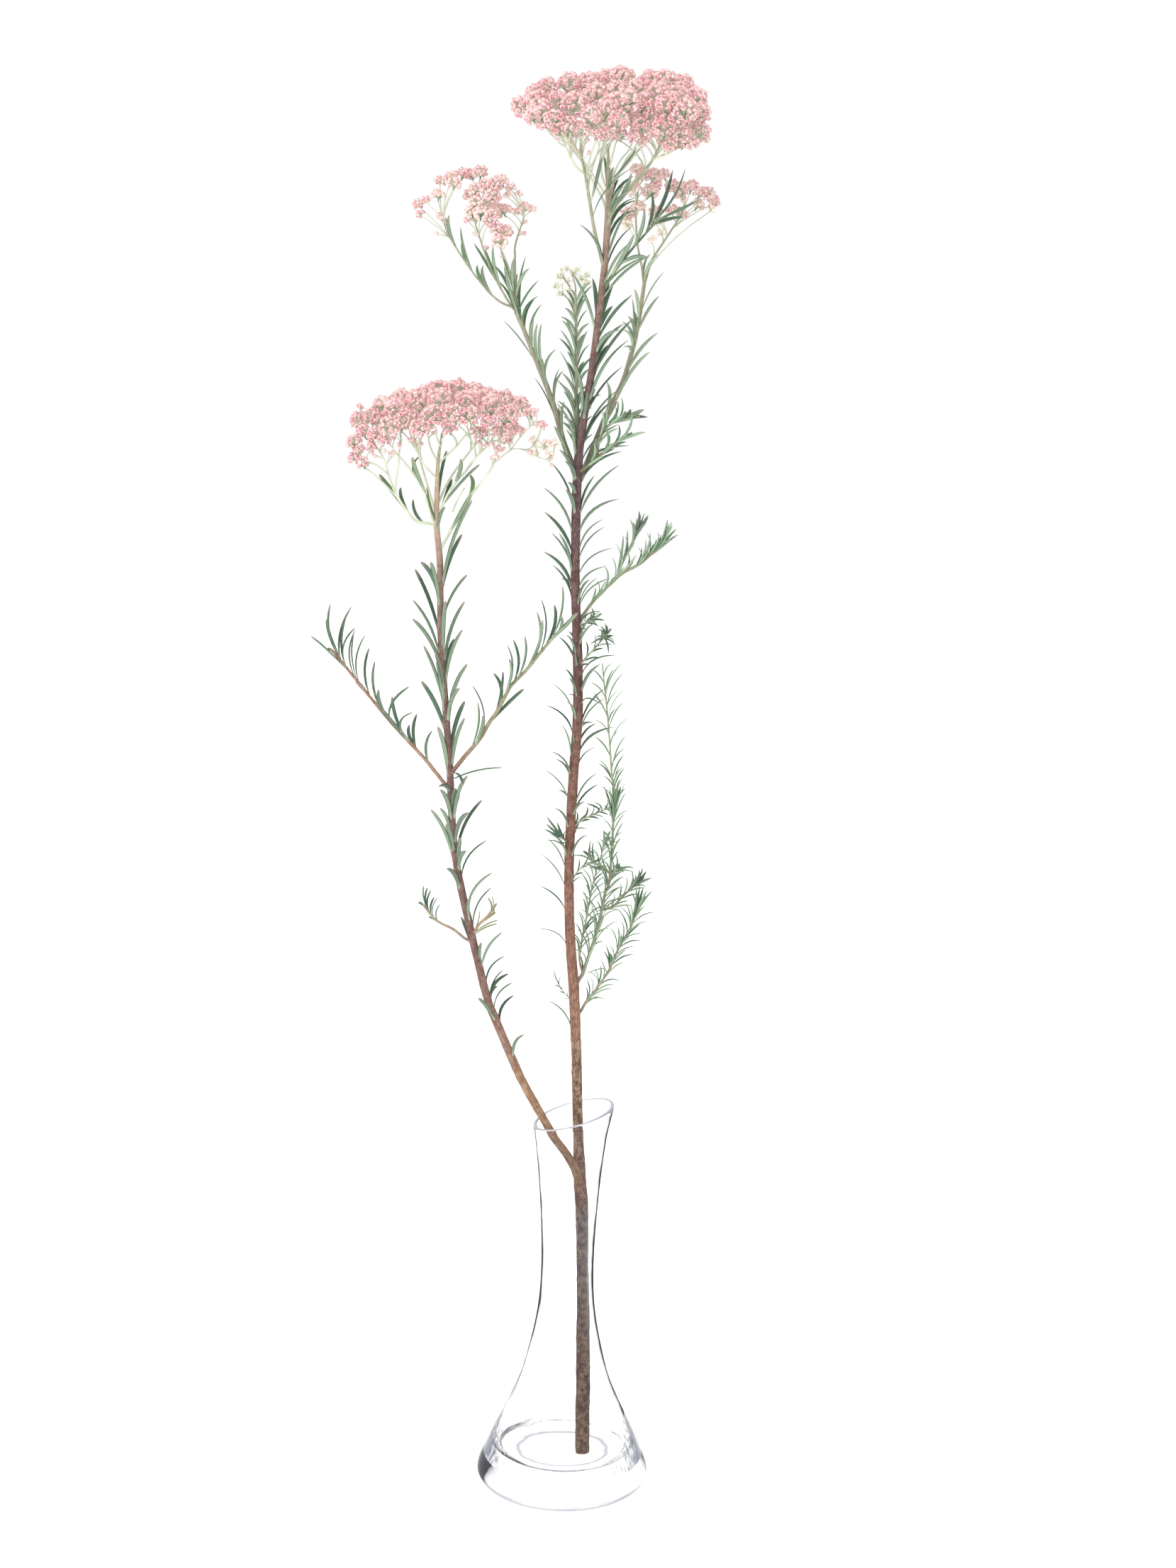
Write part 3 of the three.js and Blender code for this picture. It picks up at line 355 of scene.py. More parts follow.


# Each kind's edge colour is painted shade along the glass's edges and streaks. The foot's lean paints its
# left side darker and the wall's lean its right side.
glass_kinds = {
    "foot": glass_material(
        "foot_glass", 0.36, 0.54, srgb(56, 54, 62), clarity=0.05, waves=0.3, lean=-4.2,
        bands=[(0.0, 0.28), (0.004, 0.26), (0.007, 0.2), (0.013, 0.07), (0.017, 0.04), (0.02, 0.4)],
    ),
    "shoulder": glass_material(
        "shoulder_glass", 0.28, 0.6, srgb(96, 102, 118), clarity=0.3, waves=0.8, fineness=480.0, flow=0.22,
        bands=[(0.018, 0.0), (0.026, 0.02), (0.03, 0.16), (0.036, 0.26)],
    ),
    "wall": glass_material(
        "wall_glass", 0.5, 0.68, srgb(64, 60, 70), waves=0.24, lean=1.2,
        bands=[
            (0.03, 0.2), (0.06, 0.17), (0.085, 0.12), (0.1, 0.02), (0.145, 0.01), (0.17, 0.1),
            (0.21, 0.12),
        ],
    ),
    "lip": new_material(
        "melted_lip", Base_Color=srgb(206, 204, 216), Roughness=0.12, IOR=1.5, Transmission_Weight=0.35,
        Specular_Tint=(0.5, 0.5, 0.5, 1),
    ),
    "bore": glass_material("bore_glass", 0.6, 0.85, srgb(196, 192, 204), clarity=0.6),
    # The ground underside also glows faintly white, painted light that lifts the shade under the foot.
    "base": new_material(
        "ground_base_painted_glow", Base_Color=white, Roughness=0.6, IOR=1.5, Transmission_Weight=0.9,
        Specular_Tint=faint_shine, Emission_Color=white, Emission_Strength=0.25,
    ),
    "low edge": glass_material(
        "low_edge_glass", 0.2, 0.55, srgb(164, 164, 176), clarity=0.5, waves=0.4, fineness=40.0
    ),
    # Painted shade on the vase's floor: a dark crescent on the near side of its rim and a thin dark ring
    # round it.
    "floor rim": floor_glass("floor_rim_glass", srgb(84, 86, 96)),
    "floor ring": floor_glass("floor_ring_glass", srgb(104, 106, 122), ring=0.027),
}
vase_skin = skin(np.array(vase_rings))
vase_skin["material"] = glass_kinds["foot"]
vase = make_piece("vase", [vase_skin], "vase_glass", "glass_vase")
for material in list(glass_kinds.values())[1:]:
    vase.data.materials.append(material)

# Each face gets its kind of glass from the row of rings it lies in, and from its height, radius
# and side. The faces of the two fans, last in the mesh, count to the first row and to one more.
row_count = len(vase_rings)
row_of_face = np.arange(len(vase.data.polygons)) // vase_sides
row_of_face[(row_count - 1) * vase_sides:] = np.repeat([0, row_count], vase_sides)
spoke_of_face = np.arange(len(row_of_face)) % vase_sides
to_back = np.sin(2 * math.pi * (spoke_of_face + 0.5) / vase_sides)
ring_heights = np.array([ring[:, 2].mean() for ring in vase_rings])[row_of_face % row_count]
ring_radii = np.array([np.hypot(*ring[0, :2]) for ring in vase_rings])[row_of_face % row_count]
base_end, foot_end, shoulder_end, bowl_edge = 12, 28, 36, 13
wall_end = foot_rings + wall_rings + neck_rings
lip_end = wall_end + lip_rings
bowl_start = lip_end + neck_rings + bowl_edge
is_outside = row_of_face < wall_end
is_in_bowl = (row_of_face >= bowl_start) & (row_of_face < row_count - 1)
# Where two of these places overlap, the later one counts.
places_of_glass = {
    "base": row_of_face < base_end,
    "low edge": is_outside & (row_of_face >= base_end) & (ring_heights < 5.0),
    "shoulder": (row_of_face >= foot_end) & (row_of_face < shoulder_end),
    "wall": (row_of_face >= shoulder_end) & (row_of_face < wall_end),
    "lip": (row_of_face >= wall_end) & (row_of_face < lip_end),
    "bore": row_of_face >= lip_end,
    "floor rim": is_in_bowl & (ring_heights > 19.5) & (ring_heights < 23) & (to_back < -0.1),
    "floor ring": is_in_bowl & (ring_heights < 15.6) & (ring_radii > 16) & (ring_radii < 31),
}
kind_of_face = np.zeros(len(row_of_face), np.int32)
for kind, places in places_of_glass.items():
    kind_of_face[places] = list(glass_kinds).index(kind)
vase.data.polygons.foreach_set("material_index", kind_of_face)


# The wood. One branch was cut low and stands on the vase's floor. It forks inside the neck, and
# below the leaves its bark is bare and tan, ridged lengthwise, with small scars of fallen leaves.
def unit(vectors):
    """Vectors with their length made one."""
    return vectors / np.linalg.norm(vectors, axis=-1, keepdims=True)


def direction(limb, place):
    """The way a limb runs at a place on it."""
    low, high = max(place - 0.02, 0), min(place + 0.02, len(limb) - 1)
    ends = curve(np.asarray(limb)[:, :3], [low, high])
    return unit(ends[1] - ends[0])


def place_at(limb, height):
    """The place along a limb's list where it reaches a height."""
    places = np.arange(12 * (len(limb) - 1) + 1) / 12
    return places[np.argmin(np.abs(curve(limb, places)[:, 2] - height))]


def chance(index, seed):
    """The same number from 0 to 1 for the same index and seed every time."""
    wave = math.sin(index * 12.9898 + seed * 78.233) * 43758.5453
    return wave - math.floor(wave)


scar_gap = 4.2


def limb_skin(limb, sides, step, bark, lumps=0.04, scars=0.0, start=0.0, end=None, seed=0):
    """A limb's wood from one place to another. It is lumpy, and leaf scars stand up in a spiral.
    Its marks wrap round it and run along it, so that grain follows the limb."""
    end = len(limb) - 1 if end is None else end
    fine = curve(limb, np.linspace(start, end, 200))
    length = np.linalg.norm(np.diff(fine[:, :3], axis=0), axis=1).sum()
    places = np.linspace(start, end, max(3, int(length / step) + 1))
    line = curve(limb, places)
    ways = np.array([direction(limb, place) for place in places])
    across = np.empty_like(ways)
    first = np.array([0.0, 1.0, 0.0])
    for i, way in enumerate(ways):
        first = unit(first - way * first.dot(way))
        across[i] = first
    beside = np.cross(ways, across)
    run = np.concatenate([[0], np.cumsum(np.linalg.norm(np.diff(line[:, :3], axis=0), axis=1))])[:, None]
    turns = np.linspace(0, 2 * math.pi, sides, endpoint=False)[None, :]
    radius = line[:, 3:4]
    wave = np.sin(3 * turns + 0.13 * run + seed) + 0.7 * np.sin(5 * turns - 0.29 * run + 2 * seed)
    wave = wave + 0.8 * np.sin(2 * turns + 0.47 * run + 3 * seed) * np.sin(0.21 * run + seed)
    relief = radius * lumps * 0.5 * wave
    for k in range(int(length / scar_gap) if scars else 0):
        at = scar_gap * k + 3 * chance(k, seed)
        off = (turns - 2.4 * k - chance(k, seed + 1) + math.pi) % (2 * math.pi) - math.pi
        relief = relief + scars * np.exp(-(((run - at) / 1.1) ** 2) - (off * radius) ** 2)
    out = (radius + relief)[..., None]
    spokes = np.cos(turns)[..., None] * across[:, None] + np.sin(turns)[..., None] * beside[:, None]
    shape = skin(line[:, None, :3] + out * spokes)
    wrapped = np.broadcast_arrays(radius * np.cos(turns), radius * np.sin(turns), run)
    shape["marks"] = np.vstack([np.stack(wrapped, 2).reshape(-1, 3), [0, 0, 0], [0, 0, length]])
    shape["material"] = bark
    return shape


def bark_material(name, stops, speckle, streak, blotch):
    """Bark whose colour changes with height, with lengthwise streaks, dark blotches and pale specks."""
    material = new_material(name, Roughness=0.82, Specular_IOR_Level=0.25)
    grain = add_node(material, "ShaderNodeAttribute", {}, attribute_name="marks").outputs["Vector"]
    place = add_node(material, "ShaderNodeTexCoord", {}).outputs["Object"]
    height = add_node(material, "ShaderNodeSeparateXYZ", {"Vector": place}).outputs["Z"]
    base = ramp(material, height, stops)
    long_grain = add_node(
        material, "ShaderNodeMapping", {"Vector": grain, "Scale": (1.6, 1.6, 0.16)}
    ).outputs["Vector"]
    streaks = noise(material, long_grain, 1.0, detail=5.0, roughness=0.65)
    streak_tone = ramp(material, streaks, [(0.32, streak), (0.68, white)])
    streaked = mix(material, 0.75, base, streak_tone, "MULTIPLY")
    blotches = noise(material, grain, 0.3, detail=4.0, roughness=0.7)
    blotch_tone = ramp(material, blotches, [(0.42, blotch), (0.58, white)])
    blotched = mix(material, 1.0, streaked, blotch_tone, "MULTIPLY")
    specks = noise(material, grain, 1.3, detail=3.0, roughness=0.7)
    speck_share = ramp(material, specks, [(0.58, black), (0.8, (0.7, 0.7, 0.7, 1))])
    speckled = mix(material, speck_share, blotched, speckle)
    return finish_with(material, speckled, bumps(material, streaks, 0.5, 0.0006))


right_main = [
    (11.4, -2, 15.3, 4), (10.8, -3, 38, 4), (10, -1, 79, 3.8), (8.6, 0, 126, 3.35), (7, 0, 162, 3.6),
    (5.5, 0, 181, 3.4), (4, 0, 203, 2.85), (2, 1, 244, 2.8), (-0.5, 2, 284, 2.9), (-4, 3, 324, 2.7),
    (-5, 4, 363, 2.65), (-4, 5, 402, 2.7), (-2.5, 6, 440, 2.7), (-4, 7, 479, 2.6), (-6, 8, 516, 2.4),
    (-6, 8, 569, 2.4), (-4, 9, 591, 2.1), (0, 9, 620, 1.9), (3, 9, 650, 1.85), (5, 9, 672, 1.8),
    (6, 10, 693, 1.75), (6, 10, 715, 1.35), (5, 10, 735, 0.5),
]
left_main = [
    (6, 0, 168, 2.6), (4.3, -3, 181, 2.5), (-0.8, -6, 192, 2.3), (-9.8, -9, 206, 2.15),
    (-19.3, -12, 223, 2.25), (-28, -13, 239, 2.3), (-42, -14, 271, 2.3), (-48, -14, 287, 2.2),
    (-58, -15, 327, 2.1), (-66, -17, 366, 2), (-70, -18, 420, 1.85), (-75, -19, 480, 1.75),
    (-76, -20, 518, 1.7), (-78, -21, 540, 1.5), (-78, -21, 569, 1.0), (-76, -22, 587, 0.45),
]
# The places where each stem's leaves begin, and where its flower head begins.
right_fork, left_fork = place_at(right_main, 258), place_at(left_main, 245)
right_top, left_top = place_at(right_main, 668), place_at(left_main, 519)

bare_bark = bark_material("bare_tan_bark", [
    (0.0, srgb(150, 126, 106)), (0.1, srgb(154, 132, 117)), (0.14, srgb(154, 138, 130)),
    (0.158, srgb(158, 146, 140)), (0.166, srgb(166, 132, 114)), (0.2, srgb(184, 152, 130)),
    (0.31, srgb(188, 156, 132)),
], speckle=srgb(226, 214, 200), streak=srgb(120, 98, 88), blotch=srgb(168, 160, 162))
branch_bark = bark_material("branch_tan_bark", [
    (0.166, srgb(162, 130, 110)), (0.2, srgb(188, 156, 130)), (0.31, srgb(180, 150, 126)),
], speckle=srgb(220, 200, 172), streak=srgb(140, 112, 92), blotch=srgb(216, 204, 194))
make_piece("bare_wood", [
    limb_skin(right_main, 20, 1.2, bare_bark, lumps=0.05, scars=0.22, end=right_fork, seed=1),
    limb_skin(left_main, 16, 1.2, branch_bark, lumps=0.07, scars=0.22, end=left_fork, seed=2),
], "bare_wood", "woody_trunk")


# The leaves. They are narrow, with rolled edges, and grow straight from the bark of the stems and
# shoots: dark green above and grey and felted below, with brown tips and a pale foot.
# The room that pieces take up, under the name of each: rows of two end points and a radius.
taken = {}


def take(owner, starts, ends, radii):
    """Notes the room that a row of short round lengths of a piece takes up."""
    rows = np.column_stack([starts, ends, radii])
    taken[owner] = np.vstack([taken[owner], rows]) if owner in taken else rows


def take_limb(owner, limb, start=0.0, end=None):
    """Notes the room that a limb's wood takes up, from one place on it to another."""
    end = len(limb) - 1 if end is None else end
    line = curve(limb, np.linspace(start, end, int(math.ceil((end - start) * 3)) + 1))
    take(owner, line[:-1, :3], line[1:, :3], line[:-1, 3])


def is_clear(owner, points, reach):
    """True where points keep clear of everything that other owners have taken."""
    others = np.vstack([rows for name, rows in taken.items() if name != owner])
    starts, spans, radii = others[:, :3], others[:, 3:6] - others[:, :3], others[:, 6]
    away = points[:, None] - starts
    share = np.clip((away * spans).sum(2) / np.maximum((spans**2).sum(1), 1e-9), 0, 1)
    gaps = np.linalg.norm(away - share[..., None] * spans, axis=2)
    return bool((gaps > radii + reach).all())


def seen_at(x, z, plane, depth):
    """A point seen at x, z in the plane y = plane, slid along the line of sight to a depth."""
    share = (depth - eye[1]) / (plane - eye[1])
    return np.array([eye[0] + (x - eye[0]) * share, depth, eye[2] + (z - eye[2]) * share])


def bent(start, middle, end, shares):
    """Points of a bow from start to end, pulled towards middle."""
    shares = np.asarray(shares, float)[:, None]
    return (1 - shares) ** 2 * start + 2 * shares * (1 - shares) * middle + shares**2 * end


def turned(vector, axis, angle):
    """A vector turned about an axis square to it."""
    return vector * math.cos(angle) + np.cross(axis, vector) * math.sin(angle)


# A leaf's shape: shares of its length, its width at each of them, and the outline it has when cut
# across, with how far each point of that outline looks up.
leaf_shares = np.array([0, 0.05, 0.13, 0.25, 0.4, 0.55, 0.7, 0.83, 0.93, 0.985])
leaf_widths = {
    "pointed": np.array([0.5, 0.62, 0.72, 0.88, 1.0, 0.98, 0.86, 0.66, 0.4, 0.14]),
    "blunt": np.array([0.5, 0.62, 0.72, 0.86, 0.97, 1.0, 0.99, 0.92, 0.74, 0.44]),
}
leaf_across = np.array([1, 0.55, 0, -0.55, -1, -0.72, 0, 0.72])
leaf_height = np.array([-0.16, 0.2, 0.1, 0.2, -0.16, -0.52, -0.3, -0.52])
leaf_face = np.array([0.85, 1, 1, 1, 0.85, 0.5, 0.12, 0.5])


def leaf_skin(root, middle, tip, side, width, seed, material, end="pointed"):
    """A leaf: its edges rolled under, a groove along the top and a midrib below."""
    line = bent(root, middle, tip, leaf_shares)
    ways = unit(np.gradient(line, axis=0))
    beside = unit(side - (ways @ side)[:, None] * ways)
    above = np.cross(ways, beside)
    scale = width / 2 * leaf_widths[end]
    rings = (
        line[:, None]
        + (scale[:, None] * leaf_across)[..., None] * beside[:, None]
        + (scale[:, None] * leaf_height)[..., None] * above[:, None]
    )
    shape = skin(rings, end=tip)
    marks = np.stack(np.broadcast_arrays(leaf_face, leaf_shares[:, None], seed % 1), 2).reshape(-1, 3)
    shape["marks"] = np.vstack([marks, [1, 0, seed % 1], [1, 1, seed % 1]])
    shape["material"] = material
    return shape


def grow_leaf(owner, limb, place, tip_seen, width, reach, leaf, plane=None, roll=0.3):
    """One leaf on a limb, or none if there is no room. It leans to the front or the back, as far
    as its reach allows, until it is clear of what others have taken."""
    x, z, *lean = tip_seen
    centre = curve(limb, [place])[0]
    root, radius = centre[:3], centre[3]
    way = direction(limb, place)
    seed = 3.1 * x + 7.7 * z
    plane = root[1] if plane is None else plane
    flat = np.linalg.norm(seen_at(x, z, plane, root[1]) - root)
    rest = math.sqrt(max(reach**2 - flat**2, 0.06 * flat**2))
    lean = lean[0] if lean else min(rest, 0.9 * flat + 5) * (-1 if chance(seed, 1) < 0.5 else 1)
    for share in (1, -1, 0.5, -0.5, 1.4, -1.4, 0):
        tip = seen_at(x, z, plane, root[1] + lean * share)
        length = np.linalg.norm(tip - root)
        hugging = root + way * 0.5 * length
        pull = 0.25 + 0.35 * chance(seed, 2)
        middle = ((root + tip) / 2) * (1 - pull) + hugging * pull
        points = bent(root, middle, tip, [0.3, 0.45, 0.6, 0.75, 0.88, 1])
        if is_clear(owner, points, 0.4 * width + 0.4):
            break
    else:
        return []
    take(owner, points[:-1], points[1:], np.full(5, 0.5 * width))
    straight = unit(tip - root)
    side = unit(np.cross(way, straight))
    towards_back = 1 if np.cross(straight, side)[1] > 0 or chance(seed, 5) < 0.25 else -1
    tilt = roll * (0.4 + 1.2 * chance(seed, 3))
    side = turned(side, straight, -towards_back * math.copysign(1, side[1]) * tilt)
    outward = unit(straight - way * straight.dot(way))
    foot = root + outward * radius * 0.8 - way * min(4.0, 0.2 * length)
    end = "blunt" if owner.startswith("left") else "pointed"
    return [leaf_skin(foot, middle, tip, side, width, chance(seed, 4), leaf, end)]


def grow_row(owner, limb, rows, width, reach, leaf, plane=None, roll=0.3):
    """Leaves up a limb, each row (height of its foot, tip x, tip z and, for some, its lean)."""
    leaves = []
    for foot, *tip_seen in rows:
        height = foot
        if plane is not None:
            depth = curve(limb, [place_at(limb, foot)])[0, 1]
            height = seen_at(0, foot, plane, depth)[2]
        place = place_at(limb, height)
        leaves += grow_leaf(owner, limb, place, tip_seen, width, reach, leaf, plane, roll)
    return leaves


def grow_tuft(owner, limb, tips, width, reach, leaf, plane=None):
    """Leaves crowded at a limb's end."""
    leaves = []
    for i, tip_seen in enumerate(tips):
        place = len(limb) - 1.02 - 0.6 * (len(tips) - 1 - i) / len(tips)
        leaves += grow_leaf(owner, limb, max(place, 0), tip_seen, width, reach, leaf, plane)
    return leaves


def grow_pairs(
    owner, limb, gap, width, length, leaf, high_leaf=None, high_from=math.inf, start=0.1, rise=0.0
):
    """Leaves along a limb at even gaps, to its left and its right by turns, turned upwards by a
    share of rise. They may be of another material from some height on."""
    run = np.linalg.norm(np.diff(np.array(limb)[:, :3], axis=0), axis=1).sum()
    leaves = []
    for k, share in enumerate(np.arange(start, 0.97, gap / run)):
        place = share * (len(limb) - 1)
        x, _, z = curve(limb, [place])[0, :3]
        across, _, up = unit(direction(limb, place) * (1 - rise) + (0, 0, rise))
        side = -1 if k % 2 else 1
        spread = math.radians(32 + 30 * chance(k, run)) * (1 - 0.6 * rise)
        far = length * (0.7 + 0.6 * chance(k, 2 * run))
        tip_x = x + far * (across * math.cos(spread) + side * up * math.sin(spread))
        tip_z = z + far * (up * math.cos(spread) - side * across * math.sin(spread))
        kind = high_leaf if z > high_from else leaf
        leaves += grow_leaf(owner, limb, place, (tip_x, tip_z), width, 1.25 * far, kind)
    return leaves


def leaf_material(name, above, below, tip, foot):
    """A leaf's face from its marks: how far it looks up, how far along the leaf, which leaf."""
    material = new_material(name, Roughness=0.62, Specular_IOR_Level=0.3)
    marks = add_node(material, "ShaderNodeAttribute", {}, attribute_name="marks").outputs["Vector"]
    parts = add_node(material, "ShaderNodeSeparateXYZ", {"Vector": marks}).outputs
    place = add_node(material, "ShaderNodeTexCoord", {}).outputs["Object"]
    felt = noise(material, place, 900.0, detail=4.0, roughness=0.6)
    pale = [0.5 * a + 0.5 * b for a, b in zip(above, below)]
    face = ramp(material, parts["X"], [(0.1, pale), (0.24, below), (0.42, below), (0.56, above)])
    tones = [(0.0, srgb(205, 205, 205)), (0.5, srgb(235, 240, 232)), (1.0, srgb(255, 255, 250))]
    darker = ramp(material, parts["Z"], tones)
    varied = mix(material, 1.0, face, darker, "MULTIPLY")
    felted = ramp(material, felt, [(0.3, srgb(215, 218, 215)), (0.7, white)])
    soft = mix(material, 1.0, varied, felted, "MULTIPLY")
    tip_share = ramp(material, parts["Y"], [(0.82, black), (1.0, (0.85, 0.85, 0.85, 1))])
    tipped = mix(material, tip_share, soft, tip)
    foot_share = ramp(material, parts["Y"], [(0.02, (0.8, 0.8, 0.8, 1)), (0.2, black)])
    footed = mix(material, foot_share, tipped, foot)
    return finish_with(material, footed, bumps(material, felt, 0.25, 0.0003))


stem_bark = bark_material("leafy_stem_bark", [
    (0.25, srgb(180, 146, 122)), (0.3, srgb(168, 130, 110)), (0.37, srgb(156, 117, 101)),
    (0.47, srgb(132, 103, 98)), (0.56, srgb(124, 102, 104)), (0.61, srgb(130, 108, 106)),
    (0.64, srgb(152, 130, 120)), (0.67, srgb(160, 138, 125)),
], speckle=srgb(200, 188, 178), streak=srgb(134, 104, 98), blotch=srgb(210, 200, 200))
shoot_bark = bark_material("shoot_bark", [
    (0.3, srgb(172, 170, 152)), (0.36, srgb(168, 172, 152)), (0.4, srgb(176, 194, 160)),
    (0.5, srgb(172, 178, 152)), (0.565, srgb(140, 138, 120)), (0.6, srgb(158, 154, 136)),
    (0.65, srgb(174, 174, 152)), (0.85, srgb(190, 196, 170)),
], speckle=srgb(212, 208, 194), streak=srgb(214, 206, 194), blotch=srgb(236, 234, 228))
left_stem_bark = bark_material("left_stem_bark", [
    (0.24, srgb(182, 152, 130)), (0.275, srgb(164, 134, 120)), (0.31, srgb(146, 116, 110)),
    (0.37, srgb(142, 114, 110)), (0.43, srgb(146, 120, 114)), (0.5, srgb(164, 140, 128)),
    (0.52, srgb(172, 148, 134)),
], speckle=srgb(204, 194, 184), streak=srgb(156, 132, 126), blotch=srgb(220, 212, 210))
dark_leaf = leaf_material(
    "dark_leaf", above=srgb(98, 124, 104), below=srgb(160, 178, 154), tip=srgb(156, 140, 130),
    foot=srgb(176, 182, 160),
)

# Leaves read from the photograph: the height of the foot, the x and z of the tip and, for some, the
# lean, which is negative towards the front. A list's name says which stem and which side of it.
right_left_side = [
    (269, -15, 279), (313, -22, 319), (333, -21, 343), (347, -21, 361), (356, -18, 370), (364, -17, 372),
    (366, -18, 368), (380, -14, 386), (392, -12, 396), (397, -20, 407), (404, -14, 413), (407, -17, 417),
    (415, -11, 432), (418, -5, 427, -4), (431, -20, 442), (437, -9, 444), (439, -17, 454), (446, -8, 448),
    (450, -8, 457), (452, -10, 462), (458, -5, 470, -5), (470, -14, 479), (472, -10, 480), (477, -9, 482),
]
right_left_broad = [
    (503, -18, 517), (505, -13, 510), (509, -23, 524), (516, -15, 534), (520, -19, 534), (527, -23, 545),
    (540, -24, 558), (548, -12, 557), (553, -20, 571), (558, -11, 561), (566, -13, 572), (566, -16, 578),
    (646, -13, 671), (650, -1, 667), (578, -13, 597), (590, -9, 611), (600, -9, 622), (584, -14, 601),
]
right_right_side = [
    (364, 5, 372), (371, 3, 383), (385, 3, 390), (388, 10, 400), (393, 9, 406), (412, 8, 420),
    (424, 8, 433), (431, 6, 433), (433, 13, 447), (438, 12, 452), (448, 10, 443), (480, 6, 487),
    (483, 8, 493), (487, 9, 493), (500, 2, 510), (500, 6, 511), (501, 13, 511), (509, 10, 517),
    (515, 14, 527), (525, 9, 538), (529, 8, 542),
]
right_right_broad = [
    (421, 17, 431), (453, 9, 465), (464, 18, 470), (539, 16, 553), (547, 3, 565), (550, 16, 571),
    (565, 8, 572), (566, 17, 578), (572, 21, 581), (602, 16, 622), (618, 8, 633), (628, 16, 644),
    (632, 14, 641), (642, 10, 653), (640, 20, 659), (645, 8, 665, -4), (662, 28, 679), (646, 10.5, 666),
    (598, -2, 608), (600, 2, 610), (602, 5, 607), (590, 14, 610), (584, 11, 604), (612, 19, 636),
    (622, 22, 648), (607, 11, 628), (576, 15, 592),
]
left_right_side = [
    (256, -27, 264), (272, -33, 286), (280, -34, 293), (283, -42, 291), (287, -36, 298), (288, -39, 300),
    (294, -38, 308), (304, -40, 321), (306, -51, 315, -4), (327, -46, 346), (330, -57, 340),
    (341, -46, 354), (356, -49, 372), (357, -60, 366), (360, -63, 373, -5), (372, -52, 394),
    (373, -59, 387), (384, -64, 397), (388, -60, 407), (390, -66, 400, -5), (417, -62, 438),
    (427, -62, 447), (440, -65, 454), (441, -61, 467), (459, -68, 480), (461, -64, 485), (471, -63, 500),
    (476, -73, 500, -5), (495, -62, 514), (510, -65, 535), (514, -60, 553),
]
left_left_side = [
    (275, -52, 284), (310, -62, 329), (350, -70, 356), (366, -79, 388), (368, -71, 380),
    (377, -74, 389, -4), (386, -74, 399), (400, -75, 401), (410, -76, 433), (437, -85, 457),
    (448, -77, 468, -5), (452, -84, 476), (456, -78, 472), (470, -90, 490), (477, -90, 500),
    (487, -89, 516), (500, -81, 520), (505, -86, 520), (513, -87, 535),
]
# The right stem's tufts: how thick each one's twig is, the points of the twig, the tips of its leaves.
right_tufts = [
    (0.6, [(-5, 4, 366), (-10, 1, 371)], [(-18, 382), (-16, 380), (-12, 379), (-18, 378), (-19, 375)]),
    (
        0.6, [(-5, 4, 373), (0, 4, 379), (6, 2, 383), (10, 1, 385), (16, 0, 388)],
        [(3, 390), (7, 391), (13, 389), (16, 388), (16, 383)],
    ),
    (
        0.65, [(-3, 6, 462), (0, 5, 467), (5, 4, 473), (9, 3, 478), (12, 2, 482)],
        [
            (3, 476), (6, 480), (9, 483), (12, 482), (15, 481), (16, 477), (17, 475), (13, 471), (8, 486),
            (11, 487), (14, 485), (7, 484),
        ],
    ),
    (0.6, [(-4, 7, 484), (2, 3, 488), (5, 1, 490)], [(6, 487), (8, 493), (9, 493), (3, 496)]),
    (0.32, [(0, 2, 278), (-5, 1, 283), (-10, 0, 289)], [(-12, 297), (-7, 294)]),
    (0.5, [(-4.6, 3, 343), (-1, 1, 351), (4, 0, 356.5), (9, -1, 358)], [(13, 356), (11, 361)]),
]


# The side shoots' wood. Each shoot is a thin twig that grows from a main stem, and some of them
# fork. The room of all wood is noted here, so that leaves can grow clear of it.
def tapered(points, thick, thin):
    """A limb's points with radii that go evenly from thick to thin."""
    radii = np.linspace(thick, thin, len(points))
    return [(*point, radius) for point, radius in zip(points, radii)]


shoots = {}


def plan_shoot(
    name, limb, radii, width, reach, plane=None, forks=(), leaves=(), tips=(), look="shoot", rise=0.0,
    pale_from=math.inf,
):
    """Notes a side shoot. Each fork is (points, radii, leaf rows, tuft tips). The rise and the height
    where leaves turn pale are for the leaves that grow in pairs."""
    main = tapered(limb, *radii)
    limbs = [(main, leaves, tips)]
    for points, fork_radii, rows, fork_tips in forks:
        limbs.append((tapered(points, *fork_radii), rows, fork_tips))
    for wood, _, _ in limbs:
        take_limb(name, wood)
    shoots[name] = {
        "limbs": limbs, "width": width, "reach": reach, "plane": plane, "look": look, "rise": rise,
        "pale_from": pale_from,
    }


take_limb("bare_wood", right_main, 0, right_fork)
take_limb("bare_wood", left_main, 0, left_fork)
take_limb("right_stem", right_main, right_fork, right_top)
take_limb("left_stem", left_main, left_fork, left_top)
take_limb("top_head", right_main, right_top)
take_limb("left_head", left_main, left_top)
for thick, tuft_points, _ in right_tufts:
    take_limb("right_stem", tapered(tuft_points, thick, 0.6 * thick))

